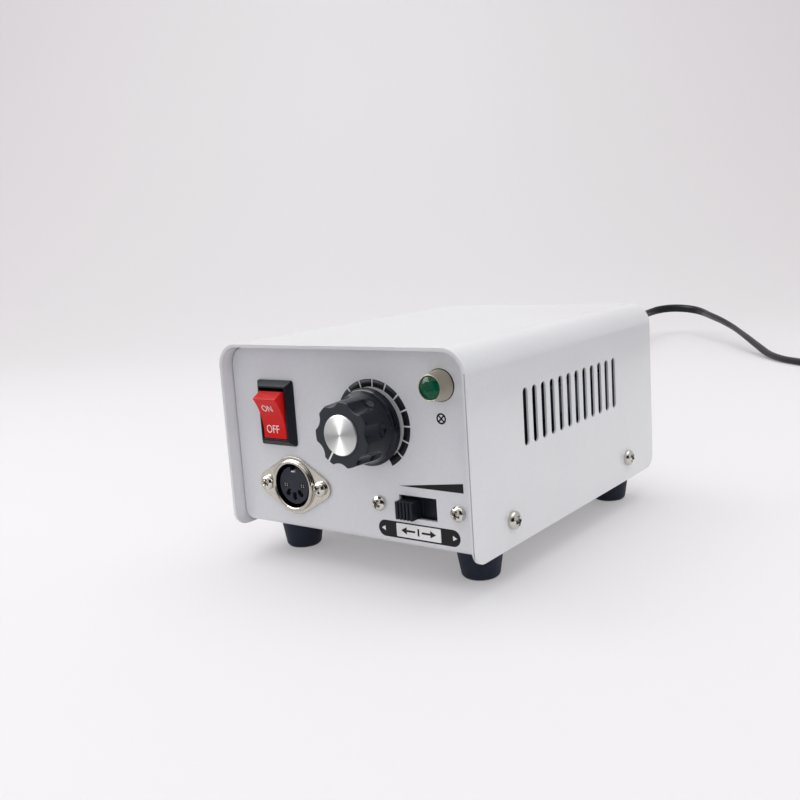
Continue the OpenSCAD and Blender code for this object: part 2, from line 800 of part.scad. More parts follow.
module pot_body() {
    color([0.6, 0.6, 0.58]) on_panel(knob_x, knob_h) difference() {
        union() {
            translate([0, 0, -sheet_t - pot_t]) cylinder(d = pot_d, h = pot_t, $fn = 96);
            translate([0, 0, -sheet_t - 1]) cylinder(d = bush_d, h = sheet_t + 1 + bush_reach);
            translate([-tag_span / 2 - 2, -pot_d / 2 - 3, -sheet_t - pot_t])
                cube([tag_span + 4, 6, 1.6]);
        }
        translate([0, 0, shaft_low_z - 0.3])
            cylinder(d = shaft_d + running_gap, h = bush_reach + over + sheet_t - shaft_low_z);
        at_tags() translate([0, 1.5, 0]) cube([tag_w, 3, tag_t], center = true);
    }
}

tag_span = 10;
tag_w = 1.8;
tag_t = 0.5;
tag_l = 5;

module at_tags() {
    for (x = [-tag_span / 2, 0, tag_span / 2])
        translate([x, -pot_d / 2 - 3, -sheet_t - pot_t + 0.8]) children();
}

module pot_terminals() {
    color([0.82, 0.8, 0.72]) on_panel(knob_x, knob_h) at_tags() difference() {
        translate([0, (3 - tag_l) / 2, 0]) cube([tag_w, tag_l + 3, tag_t], center = true);
        translate([0, -tag_l * 0.7, 0]) cylinder(d = 1, h = 2, center = true);
    }
}

module pot_nut() {
    color([0.8, 0.79, 0.75]) on_panel(knob_x, knob_h) {
        difference() {
            cylinder(d = 12, h = washer_t);
            translate([0, 0, -over]) cylinder(d = hole_for(bush_d), h = 3 * over);
        }
        translate([0, 0, washer_t]) hex_nut(pot_nut_flats, pot_nut_h, hole_for(bush_d));
    }
}

// Pilot lamp

lamp_h = case_h - lamp_drop;
lamp_flange_t = 0.5;
lamp_wall = 0.35;
lamp_depth = 11;
lamp_bore_d = lamp_thread_d - 1.6;
lens_seat = 1.1;
lamp_base_t = 2.5;
lamp_pin_x = 1.4;

module lamp_body() {
    color([0.72, 0.71, 0.68]) on_panel(lamp_x, lamp_h) rotate_extrude($fn = 96) difference() {
        polygon([
            [0, -lamp_depth], [lamp_thread_d / 2, -lamp_depth], [lamp_thread_d / 2, 0],
            [lamp_base_d / 2, 0], [lamp_base_d / 2, lamp_flange_t],
            [lamp_base_d / 2 - 0.3, lamp_flange_t + 0.3], [lamp_rim_d / 2, lamp_reach], [0, lamp_reach]
        ]);
        translate([-over, -lamp_depth - over])
            square([lamp_bore_d / 2 + over, 2 * over + lamp_depth + lamp_reach]);
        translate([-over, lamp_reach - lens_seat])
            square([lens_d / 2 + fit_gap / 2 + over, lens_seat + over]);
    }
}

module lamp_lens() {
    dome_r = 6;
    color([0.02, 0.4, 0.25]) on_panel(lamp_x, lamp_h) translate([0, 0, lamp_reach - lens_seat])
        rotate_extrude($fn = 96) intersection() {
            square([lens_d / 2, 2 * lens_seat]);
            translate([0, 1.7 * lens_seat - dome_r]) circle(dome_r, $fn = 96);
        }
}

module lamp_nut() {
    color([0.75, 0.74, 0.7]) on_panel(lamp_x, lamp_h) translate([0, 0, -sheet_t - pot_nut_h])
        hex_nut(pot_nut_flats, pot_nut_h, hole_for(lamp_thread_d));
}

module lamp_base() {
    color([0.9, 0.88, 0.8]) on_panel(lamp_x, lamp_h) translate([0, 0, -lamp_depth]) difference() {
        cylinder(d = lamp_bore_d - fit_gap, h = lamp_base_t);
        for (x = [-lamp_pin_x, lamp_pin_x])
            translate([x, 0, -over]) cylinder(d = 0.8, h = lamp_base_t + 2 * over);
    }
}

module lamp_terminals() {
    color([0.82, 0.8, 0.72]) on_panel(lamp_x, lamp_h) for (x = [-lamp_pin_x, lamp_pin_x])
        translate([x, 0, -lamp_depth - 5]) cylinder(d = 0.7, h = lamp_base_t + 6);
}

// Direction switch

frame_t = 1;
frame_w = slide_pitch + 7;
can_w = 24.6;
can_l = 12;
can_depth = 7;
can_wall = 0.5;
slide_base_t = 2;
slide_gap = 0.2;
slide_foot_w = slot_w + slide_travel;
slide_rest = -slide_travel / 2;
thumb_left = 0.4;
thumb_drop = 0.5;

module at_slide_screws() {
    on_panel(slide_x, slide_h) for (x = [-slide_pitch / 2, slide_pitch / 2])
        translate([x, 0, 0]) children();
}

module slide_frame() {
    color([0.75, 0.74, 0.72]) on_panel(slide_x, slide_h) difference() {
        union() {
            translate([0, 0, -sheet_t - frame_t]) linear_extrude(frame_t) round_rect(frame_w, can_l, 2);
            translate([0, 0, -sheet_t - frame_t - can_depth])
                linear_extrude(can_depth + frame_t) square([can_w, can_l], center = true);
        }
        translate([0, 0, -sheet_t - frame_t - can_depth - over])
            linear_extrude(can_depth + over)
                square([can_w - 2 * can_wall, can_l - 2 * can_wall], center = true);
        through_frame() square([slot_w, slot_l], center = true);
        for (x = [-slide_pitch / 2, slide_pitch / 2])
            translate([x, 0, 0]) through_frame() circle(d = panel_screw_d + fit_gap);
    }
}

module through_frame() {
    translate([0, 0, -sheet_t - frame_t - over]) linear_extrude(frame_t + 2 * over) children();
}

// A ribbed thumb piece, a little left of and below the middle of the wide foot that keeps it in the can
module slide_button() {
    stem_low = -sheet_t - frame_t - slide_gap;
    foot_low = slide_base_t + slide_gap - sheet_t - frame_t - can_depth;
    rib_pitch = thumb_w / thumb_rib_n;
    groove = 0.35 * rib_pitch;
    color([0.05, 0.05, 0.06]) on_panel(slide_x, slide_h) translate([slide_rest, 0, 0]) difference() {
        union() {
            translate([0, 0, stem_low])
                linear_extrude(thumb_reach - stem_low)
                    translate([-thumb_left, -thumb_drop]) square([thumb_w, thumb_h], center = true);
            translate([0, 0, foot_low])
                linear_extrude(stem_low - foot_low) square([slide_foot_w, can_l - 2], center = true);
        }
        for (i = [1 : thumb_rib_n - 1])
            translate([i * rib_pitch - thumb_w / 2 - thumb_left - groove / 2, -thumb_w, thumb_reach - 0.6])
                cube([groove, 2 * thumb_w, over]);
    }
}

module at_slide_pins() {
    for (x = [-5, 0, 5], y = [-3, 3])
        translate([x, y, 0]) children();
}

module slide_base() {
    color([0.55, 0.35, 0.18]) on_panel(slide_x, slide_h)
        translate([0, 0, -sheet_t - frame_t - can_depth]) difference() {
            linear_extrude(slide_base_t)
                square([can_w - 2 * can_wall - fit_gap, can_l - 2 * can_wall - fit_gap], center = true);
            at_slide_pins() cube([1.6, 0.6, 4 * slide_base_t], center = true);
        }
}

module slide_terminals() {
    color([0.82, 0.8, 0.72]) on_panel(slide_x, slide_h)
        translate([0, 0, -sheet_t - frame_t - can_depth]) at_slide_pins()
            translate([0, 0, -1]) cube([1.6, 0.6, 2 * slide_base_t + 2], center = true);
}

// Transformer

strap_reach = core_w / 2 + strap_t + strap_foot;
core_y = case_d - panel_recess - sheet_t - 1.2 - strap_reach;
window_h = core_h - 2 * core_leg;
window_w = core_w / 2 - 2 * core_leg;
centre_leg = 2 * core_leg;
bobbin_t = 1;
bobbin_gap = 0.2;

module at_core() {
    on_deck(core_x, core_y) children();
}

module transformer_core() {
    color([0.35, 0.35, 0.37]) at_core() difference() {
        translate([-core_t / 2, -core_w / 2, 0]) cube([core_t, core_w, core_h]);
        for (side = [-1, 1])
            translate([0, side * (core_leg + window_w / 2), core_h / 2])
                cube([core_t + 2 * over, window_w, window_h], center = true);
    }
}

module transformer_bobbin() {
    flange_x = core_t + 2 * winding_bulge - 1;
    flange_y = centre_leg + 2 * window_w - 2 * bobbin_gap;
    tube_x = core_t + 2 * (bobbin_gap + bobbin_t);
    tube_y = centre_leg + 2 * (bobbin_gap + bobbin_t);
    low = core_leg + bobbin_gap;
    height = window_h - 2 * bobbin_gap;
    color([0.15, 0.15, 0.2]) at_core() translate([0, 0, low]) difference() {
        union() {
            for (z = [0, height - bobbin_t])
                translate([0, 0, z]) linear_extrude(bobbin_t) square([flange_x, flange_y], center = true);
            linear_extrude(height) square([tube_x, tube_y], center = true);
        }
        translate([0, 0, -over]) linear_extrude(height + 2 * over)
            square([core_t + 2 * bobbin_gap, centre_leg + 2 * bobbin_gap], center = true);
    }
}

module transformer_winding() {
    low = core_leg + bobbin_gap + bobbin_t;
    height = window_h - 2 * (bobbin_gap + bobbin_t);
    color([0.08, 0.1, 0.25]) at_core() translate([0, 0, low]) linear_extrude(height) difference() {
        round_rect(core_t + 2 * winding_bulge, centre_leg + 2 * window_w - 1, 6);
        square([core_t + 2 * (bobbin_gap + bobbin_t), centre_leg + 2 * (bobbin_gap + bobbin_t)], center = true);
    }
}

module at_strap_feet() {
    for (side = [-1, 1])
        on_deck(core_x, core_y + side * (strap_reach - strap_foot / 2)) children();
}

module transformer_strap() {
    inner = core_w / 2;
    color([0.7, 0.7, 0.72]) difference() {
        at_core() translate([-strap_w / 2, 0, 0]) rotate([90, 0, 90]) linear_extrude(strap_w) {
            translate([-inner - strap_t, core_h]) square([2 * (inner + strap_t), strap_t]);
            for (side = [0, 1]) mirror([side, 0]) {
                translate([inner, 0]) square([strap_t, core_h + strap_t]);
                translate([inner, 0]) square([strap_t + strap_foot, strap_t]);
            }
        }
        at_strap_feet() translate([0, 0, -over]) cylinder(d = hole_for(core_screw_d), h = strap_t + 2 * over);
    }
}

module transformer_screws() {
    color([0.7, 0.7, 0.72]) at_strap_feet()
        screw_up(core_screw_d, 0, sheet_t + strap_t + nut_height(core_screw_d) + 1);
}

module transformer_nuts() {
    color([0.7, 0.7, 0.72]) at_strap_feet() translate([0, 0, strap_t])
        hex_nut(nut_flats(core_screw_d), nut_height(core_screw_d), hole_for(core_screw_d));
}

// Circuit board

board_top = spacer_h + board_t;

module at_board_screws() {
    for (x = [-1, 1], y = [-1, 1])
        on_deck(board_x + x * (board_w / 2 - board_inset), board_y + y * (board_l / 2 - board_inset))
            children();
}

module on_board(x, y) {
    on_deck(board_x + x, board_y + y) translate([0, 0, board_top]) children();
}

module circuit_board() {
    color([0.12, 0.35, 0.2]) difference() {
        on_deck(board_x, board_y) translate([0, 0, spacer_h]) linear_extrude(board_t)
            round_rect(board_w, board_l, 1.5);
        at_board_screws() translate([0, 0, spacer_h - over])
            cylinder(d = hole_for(board_screw_d), h = board_t + 2 * over);
    }
}

module board_spacers() {
    color([0.85, 0.85, 0.8]) at_board_screws() difference() {
        cylinder(d = 5.6, h = spacer_h);
        translate([0, 0, -over]) cylinder(d = hole_for(board_screw_d), h = spacer_h + 2 * over);
    }
}

module board_screws() {
    color([0.7, 0.7, 0.72]) at_board_screws()
        screw_up(board_screw_d, 0, sheet_t + board_top + nut_height(board_screw_d) + 1);
}

module board_nuts() {
    color([0.7, 0.7, 0.72]) at_board_screws() translate([0, 0, board_top])
        hex_nut(nut_flats(board_screw_d), nut_height(board_screw_d), hole_for(board_screw_d));
}

capacitor_x = 4.5;
capacitor_y = -17.4;

module capacitors() {
    color([0.1, 0.12, 0.2]) for (i = [0, 1])
        on_board(capacitor_x, capacitor_y + i * (capacitor_d + 0.5)) difference() {
            cylinder(d = capacitor_d, h = capacitor_h);
            translate([0, 0, 2.6]) rotate_extrude()
                translate([capacitor_d / 2 + 0.4, 0]) circle(0.9);
        }
}

rectifier_x = -8;
rectifier_y = -13;
rectifier_t = 5;
rectifier_w = 16;
rectifier_h = 15;
rectifier_hole_d = 3;
rectifier_hole_z = 10;

module bridge_rectifier() {
    color([0.08, 0.08, 0.08]) on_board(rectifier_x, rectifier_y) difference() {
        translate([-rectifier_t / 2, -rectifier_w / 2, 0]) cube([rectifier_t, rectifier_w, rectifier_h]);
        translate([0, 0, rectifier_hole_z]) rotate([0, 90, 0])
            cylinder(d = rectifier_hole_d, h = 2 * rectifier_t, center = true);
    }
}

sink_w = 20;
sink_back_t = 2;
sink_fin_l = 9;
sink_fin_t = 1.2;

module at_sink() {
    on_board(-5.5, 10) children();
}

module heat_sink() {
    color([0.55, 0.56, 0.58]) at_sink() linear_extrude(sink_h) {
        translate([-sink_w / 2, 0]) square([sink_w, sink_back_t]);
        for (i = [0 : fin_n - 1])
            translate([-sink_w / 2 + i * (sink_w - sink_fin_t) / (fin_n - 1), 0])
                square([sink_fin_t, sink_back_t + sink_fin_l]);
    }
}

// The transistor stands on its leads with its tab towards the heat sink
transistor_w = 10;
transistor_t = 4.4;
transistor_h = 9;
tab_t = 1.3;
tab_h = 15.5;
tab_hole_d = 3.2;
tab_hole_z = 12.6;
transistor_lead_w = 0.8;
transistor_lead_t = 0.5;
transistor_lead_l = 4;
transistor_pitch = 2.6;

module power_transistor() {
    color([0.09, 0.09, 0.1]) at_sink() translate([0, -transistor_t - fit_gap, transistor_lead_l]) difference() {
        union() {
            translate([-transistor_w / 2, 0, 0]) cube([transistor_w, transistor_t, transistor_h]);
            translate([-transistor_w / 2, transistor_t - tab_t, 0]) cube([transistor_w, tab_t, tab_h]);
            for (i = [-1 : 1])
                translate([i * transistor_pitch - transistor_lead_w / 2, transistor_t / 2, -transistor_lead_l])
                    cube([transistor_lead_w, transistor_lead_t, transistor_lead_l + 1]);
        }
        translate([0, 0, tab_hole_z]) rotate([90, 0, 0])
            cylinder(d = tab_hole_d, h = 4 * transistor_t, center = true);
    }
}

chip_x = 9;
chip_y = 8.5;
chip_w = 6.4;
chip_l = 9.6;
chip_t = 3.3;
chip_rise = 0.5;
chip_pin_w = 0.6;
chip_pin_pitch = 2.54;

module control_chip() {
    color([0.08, 0.08, 0.08]) on_board(chip_x, chip_y) {
        translate([-chip_w / 2, -chip_l / 2, chip_rise]) cube([chip_w, chip_l, chip_t]);
        for (x = [-1, 1], i = [0 : 3])
            translate([x * (chip_w + chip_pin_w) / 2, (i - 1.5) * chip_pin_pitch, 0])
                translate([-chip_pin_w / 2, -chip_pin_w / 2, 0])
                    cube([chip_pin_w, chip_pin_w, chip_rise + chip_t / 2]);
    }
}

resistor_places = [[11, 15.2], [11, 17.8], [11, 20.4], [-10.8, 1.6], [-10.8, -1.2]];
resistor_d = 2.3;
resistor_l = 6.4;
resistor_rise = 1.5;
lead_d = 0.6;
lead_span = 8;

module resistors() {
    color([0.6, 0.7, 0.75]) for (place = resistor_places)
        on_board(place[0], place[1]) {
            translate([0, 0, resistor_rise]) rotate([0, 90, 0]) {
                cylinder(d = resistor_d, h = resistor_l, center = true);
                cylinder(d = lead_d, h = lead_span + lead_d, center = true);
            }
            for (x = [-lead_span / 2, lead_span / 2])
                translate([x, 0, 0]) cylinder(d = lead_d, h = resistor_rise);
        }
}

header_x = -1;
header_inset = 3;
header_w = 14;
header_l = 5.2;
header_h = 7;
header_wall = 0.8;

module board_headers() {
    color([0.93, 0.92, 0.88]) for (side = [-1, 1])
        on_board(header_x, side * (board_l / 2 - header_inset)) difference() {
            translate([-header_w / 2, -header_l / 2, 0]) cube([header_w, header_l, header_h]);
            translate([header_wall - header_w / 2, header_wall - header_l / 2, 1.5 * header_wall])
                cube([header_w - 2 * header_wall, header_l - 2 * header_wall, header_h]);
        }
}

// Fuse holder on the rear panel

fuse_flange_t = 2;
fuse_stem_d = 8;
fuse_d = 5;
fuse_l = 20;
fuse_nut_h = 3;

module fuse_holder() {
    color([0.06, 0.06, 0.06]) on_back(fuse_x, fuse_h) difference() {
        union() {
            cylinder(d = fuse_body_d + 3, h = fuse_flange_t);
            translate([0, 0, -fuse_depth]) cylinder(d = fuse_body_d, h = fuse_depth + 1);
        }
        translate([0, 0, -4]) cylinder(d = fuse_stem_d + fit_gap, h = 4 + fuse_flange_t + over);
        translate([0, 0, -fuse_l - 4]) cylinder(d = fuse_d + 2 * fit_gap, h = fuse_l + over);
        translate([0, 0, -fuse_depth - over]) cylinder(d = 2, h = fuse_depth - fuse_l - 4 + 2 * over);
    }
}

module fuse_cap() {
    color([0.05, 0.05, 0.05]) on_back(fuse_x, fuse_h) difference() {
        union() {
            translate([0, 0, fuse_flange_t]) cylinder(d = fuse_cap_d, h = fuse_reach - fuse_flange_t);
            translate([0, 0, -3.9]) cylinder(d = fuse_stem_d, h = fuse_flange_t + 4);
        }
        for (i = [0 : 11])
            rotate(i * 30) translate([fuse_cap_d / 2 + 0.3, 0, fuse_flange_t + 1])
                cylinder(d = 1.6, h = fuse_reach);
        translate([-fuse_cap_d, -0.6, fuse_reach - 1.2]) cube([2 * fuse_cap_d, 1.2, 2]);
    }
}

module glass_fuse() {
    color([0.8, 0.85, 0.85]) on_back(fuse_x, fuse_h) translate([0, 0, -fuse_l - 3.9])
        cylinder(d = fuse_d, h = fuse_l);
}

module fuse_nut() {
    color([0.08, 0.08, 0.08]) on_back(fuse_x, fuse_h) translate([0, 0, -sheet_t - fuse_nut_h])
        hex_nut(fuse_body_d + 3, fuse_nut_h, hole_for(fuse_body_d));
}

module fuse_terminals() {
    color([0.82, 0.8, 0.72]) on_back(fuse_x, fuse_h) translate([0, 0, -fuse_depth - 5])
        cylinder(d = 1.9, h = 5 + fuse_depth - fuse_l - 4);
}

// Mains lead

relief_flange_d = relief_root_d + 4.6;
relief_flange_t = 2.6;
relief_rib_n = 7;
relief_rib_t = 2.4;
relief_rib_gap = 1.2;

// Radius of the strain relief's taper at a distance from the panel
function relief_r(z) = (relief_root_d + (relief_tip_d - relief_root_d) * z / relief_l) / 2;

// The strain relief: a flange, a collar in the panel's hole, a barb behind it and a ribbed tapered tail
module strain_relief() {
    ribs_end = relief_flange_t + relief_rib_n * (relief_rib_t + relief_rib_gap);
    ribs = [for (i = [0 : relief_rib_n - 1], k = [0 : 3])
        let (z = relief_flange_t + relief_rib_gap + i * (relief_rib_t + relief_rib_gap) + (k > 1 ? relief_rib_t : 0))
        [relief_r(z) - (k == 0 || k == 3 ? 0.9 : 0), z]];
    color([0.05, 0.05, 0.05]) on_back(cord_x, cord_h - sill_z) rotate_extrude() polygon(concat(
        [[0, -sheet_t - 4], [relief_root_d / 2 - 1, -sheet_t - 4],
         [relief_root_d / 2 + 0.9, -sheet_t - fit_gap],
         [relief_root_d / 2, -sheet_t - fit_gap], [relief_root_d / 2, 0],
         [relief_flange_d / 2, 0], [relief_flange_d / 2, relief_flange_t - 0.8],
         [relief_flange_d / 2 - 0.8, relief_flange_t], [relief_r(relief_flange_t) - 0.9, relief_flange_t]],
        ribs,
        [[relief_r(ribs_end) - 0.9, ribs_end + 0.6], [relief_r(ribs_end + 0.6), ribs_end + 0.6],
         [relief_tip_d / 2, relief_l - 0.6], [relief_tip_d / 2 - 0.6, relief_l], [0, relief_l]]
    ));
}

// Height of the lead's centre line where it lies on the table
cord_z = cord_t / 2 + 0.1;
coil_x = 52;
coil_y = 376 + coil_r;
coil_lead_in = 6;

// Route of the lead from the strain relief to the coil, chosen by hand
cord_route = [
    [cord_x, back_y + relief_l, cord_h], [cord_x - 0.1, 111, cord_h - 0.3], [-34, 134, 42],
    [-37, 161, 35], [-41, 189, 25], [-46, 217, 14.5], [-52, 244, 6.7], [-59, 271, 3],
    [-68, 299, cord_z], [-78, 327, cord_z], [-89, 355, 2.9], [-100, 383, 5.3], [-111, 411, 9.4],
    [-122, 439, 13.7], [-131, 465, 17], [-138, 490, 19.2], [-142.5, 514, 20.1], [-144.2, 526, 20.5],
    [-144, 537.5, 20.9], [-140.8, 548.6, 21.9], [-132.8, 556.7, 22.4], [-121.6, 559.7, 21.8],
    [-110.3, 557.3, 20.4], [-101.6, 550, 19.2], [-94.8, 540.2, 18.7], [-88, 530, 18.2],
    [-74, 512, 16.5], [-59, 493, 13.6], [-46, 473, 11.2], [-34, 453, 9.1], [-22, 435, 6.1],
    [-9, 416, 3.1], [4.6, 399.4, cord_z], [16, 389.4, cord_z], [26, 382, cord_z], [35.7, 376.6, cord_z],
    [coil_x - coil_lead_in, 376, cord_z]
];

// A point of a smooth curve through four neighbours, a share s of the way from the second to the third
function smooth_point(a, b, c, d, s) =
    (2 * b + (c - a) * s + (2 * a - 5 * b + 4 * c - d) * s * s + (3 * b - a - 3 * c + d) * s * s * s) / 2;

// The route with a point halfway between each two of its own
cord_points = let (p = cord_route, n = len(cord_route)) concat(
    [for (i = [0 : n - 2], s = [0, 0.5]) s == 0 ? p[i] :
        smooth_point(i > 0 ? p[i - 1] : 2 * p[0] - p[1], p[i], p[i + 1],
            i < n - 2 ? p[i + 2] : 2 * p[n - 1] - p[n - 2], s)],
    [p[n - 1]]
);

// A flat tube swept along points, its wide side level: a ring of points at each, then the faces between them
function unit(v) = v / norm(v);
function ring_frame(p, i) =
    let (along = unit(p[min(i + 1, len(p) - 1)] - p[max(i - 1, 0)]), side = unit(cross(along, [0, 0, 1])))
    [side, cross(side, along)];

module flat_tube(points, w, t, sides) {
    n = len(points);
    rings = [for (i = [0 : n - 1]) let (f = ring_frame(points, i)) for (k = [0 : sides - 1])
        points[i] + f[0] * w / 2 * cos(360 * k / sides) + f[1] * t / 2 * sin(360 * k / sides)];
    walls = [for (i = [0 : n - 2], k = [0 : sides - 1]) let (a = i * sides + k, b = i * sides + (k + 1) % sides)
        each [[a, b, b + sides], [a, b + sides, a + sides]]];
    ends = [for (k = [1 : sides - 2]) each [
        [0, k + 1, k], [(n - 1) * sides, (n - 1) * sides + k, (n - 1) * sides + k + 1]
    ]];
    polyhedron(rings, concat(walls, ends));
}

module power_cord() {
    color([0.06, 0.06, 0.07]) flat_tube(cord_points, cord_w, cord_t, 8);
}

// The coil: loops that wind inwards at a steady rate on the table, climb a layer where the spiral turns
// back, and wind outwards on top. Its last quarter loop swings out to the plug beside the coil.
loop_pitch = cord_w + 0.6;
layer_step = cord_t + 0.6;
loop_rings = 24;
coil_sweep = 360 * (coil_turns + 0.25);
coil_rings = loop_rings * (coil_turns + 0.25);

swing_out = 13;

function climb(share) = max(0, min(1, share));
function ease(share) = share * share * (3 - 2 * share);
function coil_point(i) =
    let (
        turned = coil_sweep * i / coil_rings,
        from_middle = turned - coil_sweep / 2,
        last = climb((turned - coil_sweep + 90) / 90),
        r = coil_r - loop_pitch * (coil_sweep / 2 - abs(from_middle)) / 360 + swing_out * ease(last),
        z = cord_z + layer_step * climb((from_middle + 90) / 180)
            + (plug_t / 2 - cord_z - layer_step) * last
    )
    [coil_x + r * sin(turned), coil_y - r * cos(turned), z];
coil_loops = [for (i = [0 : coil_rings]) coil_point(i)];
coil_points = concat(
    [[coil_x - coil_lead_in, coil_y - coil_r, cord_z]],
    coil_loops,
    [coil_loops[coil_rings] + [0, coil_lead_in, 0]]
);
plug_at = coil_points[len(coil_points) - 1];

// Least gap between stretches of the coil that are half a loop or more apart
function flat_gap(a, b) =
    norm([max(0, norm([a[0] - b[0], a[1] - b[1]]) - (cord_w - cord_t)), a[2] - b[2]]) - cord_t;
coil_gap = min([for (i = [0 : coil_rings - loop_rings / 2], j = [i + loop_rings / 2 : coil_rings])
    flat_gap(coil_loops[i], coil_loops[j])]);
echo(coil_gap = coil_gap);

module cord_coil() {
    color([0.06, 0.06, 0.07]) flat_tube(coil_points, cord_w, cord_t, 6);
}

// The plug lies flat beside the coil: its cord end at the coil, its face and pins away from it
plug_grip_w = 13;
plug_waist_r = 24;
pin_root = 6;
pin_core_d = 2.8;

// Plan of the plug: a full width face that narrows in two hollow curves to the grip
module plug_plan() {
    difference() {
        translate([-plug_w / 2, 0]) square([plug_w, plug_l]);
        for (side = [-1, 1])
            translate([side * (plug_grip_w / 2 + plug_waist_r), 0]) circle(plug_waist_r, $fn = 96);
    }
}

module plug_body() {
    color([0.06, 0.06, 0.07]) translate(plug_at) difference() {
        intersection() {
            translate([0, 0, -plug_t / 2]) linear_extrude(plug_t) plug_plan();
            translate([0, plug_l, 0]) rotate([90, 0, 0]) linear_extrude(plug_l)
                rotate(90) slot(plug_t, plug_w);
        }
        at_pins() translate([0, 0, -over]) cylinder(d = pin_core_d + fit_gap, h = pin_root + over);
    }
}

module at_pins() {
    for (x = [-pin_pitch / 2, pin_pitch / 2])
        translate([x, plug_l, 0]) rotate([90, 0, 0]) children();
}

// Each pin: a thin root inside the plug, a full shank from the plug's face on and a round tip
module plug_pins() {
    bare_l = pin_l - pin_d / 2 - fit_gap;
    color([0.8, 0.8, 0.8]) translate(plug_at) at_pins() translate([0, 0, pin_d / 2 - pin_l]) {
        sphere(d = pin_d);
        cylinder(d = pin_d, h = bare_l);
        translate([0, 0, bare_l - over]) cylinder(d = pin_core_d, h = over + fit_gap + pin_root);
    }
}

cover();
chassis();
cover_screws();
feet();
foot_screws();
foot_nuts();
power_switch_body();
power_rocker();
power_switch_terminals();
din_shell();
din_insert();
din_contacts();
din_nuts();
panel_screws();
speed_knob();
knob_disc();
pot_shaft();
pot_body();
pot_nut();
pot_terminals();
lamp_body();
lamp_lens();
lamp_nut();
lamp_base();
lamp_terminals();
slide_frame();
slide_button();
slide_base();
slide_terminals();
transformer_core();
transformer_bobbin();
transformer_winding();
transformer_strap();
transformer_screws();
transformer_nuts();
circuit_board();
board_spacers();
board_screws();
board_nuts();
capacitors();
bridge_rectifier();
heat_sink();
power_transistor();
control_chip();
resistors();
board_headers();
fuse_holder();
fuse_cap();
glass_fuse();
fuse_nut();
fuse_terminals();
strain_relief();
power_cord();
cord_coil();
plug_body();
plug_pins();
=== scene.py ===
"""The control box of a dental laboratory micromotor, dressed for rendering. Sizes are in millimetres until
a mesh is placed, and in metres after that."""

import json
import math

import bmesh
import bpy
from mathutils import Matrix, Vector


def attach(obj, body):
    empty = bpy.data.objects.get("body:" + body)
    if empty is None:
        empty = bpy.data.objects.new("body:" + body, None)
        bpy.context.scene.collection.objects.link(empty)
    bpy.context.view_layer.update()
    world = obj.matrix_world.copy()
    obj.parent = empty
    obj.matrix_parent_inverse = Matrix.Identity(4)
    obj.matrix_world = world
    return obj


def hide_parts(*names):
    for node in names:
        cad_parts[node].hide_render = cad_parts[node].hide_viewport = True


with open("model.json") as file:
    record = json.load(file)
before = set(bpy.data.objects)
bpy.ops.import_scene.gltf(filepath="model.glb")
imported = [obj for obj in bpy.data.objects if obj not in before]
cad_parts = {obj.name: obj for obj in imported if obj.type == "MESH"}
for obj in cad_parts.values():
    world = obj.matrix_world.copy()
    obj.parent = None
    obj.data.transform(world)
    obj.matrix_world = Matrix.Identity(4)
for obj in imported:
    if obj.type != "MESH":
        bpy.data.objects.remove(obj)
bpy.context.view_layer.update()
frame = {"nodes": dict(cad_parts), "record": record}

MM = 0.001
# How near its axis a turned section starts and ends
AXIS_R = 0.001
PANEL_Y = -56.3
COVER_FRONT_Y = -60.9
BACK_Y = 60.5
CORD_W = 6.6
CORD_T = 4.3
KNOB_FACE = 14.6
FRONT = (0, -1, 0)
UP = (0, 0, 1)


# Camera

CAMERA_PLACE = Vector((183.912, -271.105, 101.311)) * MM
CAMERA_YAW = -0.6473
CAMERA_PITCH = 0.1687
CAMERA_ROLL = -0.0681
CAMERA_LENS = 43.054


def put(target, **settings):
    """Sets several properties at once."""
    for name, value in settings.items():
        setattr(target, name, value)


def make_camera():
    """Sets up the camera and gives the way it looks."""
    data = bpy.data.cameras.new("camera")
    put(data, lens=CAMERA_LENS, sensor_width=36, clip_start=0.01, clip_end=20)
    camera = bpy.data.objects.new("camera", data)
    turned = (Matrix.Rotation(-CAMERA_YAW, 4, "Z") @ Matrix.Rotation(math.pi / 2 - CAMERA_PITCH, 4, "X")
              @ Matrix.Rotation(CAMERA_ROLL, 4, "Z"))
    camera.matrix_world = Matrix.Translation(CAMERA_PLACE) @ turned
    bpy.context.scene.collection.objects.link(camera)
    bpy.context.scene.camera = camera
    return -turned.col[2].xyz


view_ahead = make_camera()


# Colours and nodes

def linear(hex_colour):
    """An sRGB hex value as linear red, green, blue and alpha."""
    parts = [int(hex_colour[i:i + 2], 16) / 255 for i in (1, 3, 5)]
    return [c / 12.92 if c <= 0.04045 else ((c + 0.055) / 1.055) ** 2.4 for c in parts] + [1.0]


def add(tree, kind, inputs=None, **settings):
    """Adds a node with its settings, then links or sets its inputs."""
    made = tree.nodes.new(kind)
    put(made, **settings)
    for key, value in (inputs or {}).items():
        if isinstance(value, bpy.types.NodeSocket):
            tree.links.new(value, made.inputs[key])
        else:
            made.inputs[key].default_value = value
    return made


def maths(tree, operation, *values):
    return add(tree, "ShaderNodeMath", dict(enumerate(values)), operation=operation).outputs[0]


def mixed(tree, share, first, second):
    """A colour between two others."""
    return add(tree, "ShaderNodeMix", {"Factor": share, 6: first, 7: second}, data_type="RGBA").outputs[2]


def surface(name, colour, roughness, **sockets):
    """A new material, its tree and its shader, with the constant values on the shader's own sockets."""
    material = bpy.data.materials.new(name)
    material.use_nodes = True
    tree = material.node_tree
    tree.nodes.clear()
    shader = add(tree, "ShaderNodeBsdfPrincipled", {"Base Color": linear(colour), "Roughness": roughness})
    for socket, value in sockets.items():
        shader.inputs[socket.replace("_", " ").title().replace("Ior", "IOR")].default_value = value
    add(tree, "ShaderNodeOutputMaterial", {"Surface": shader.outputs["BSDF"]})
    return material, tree, shader


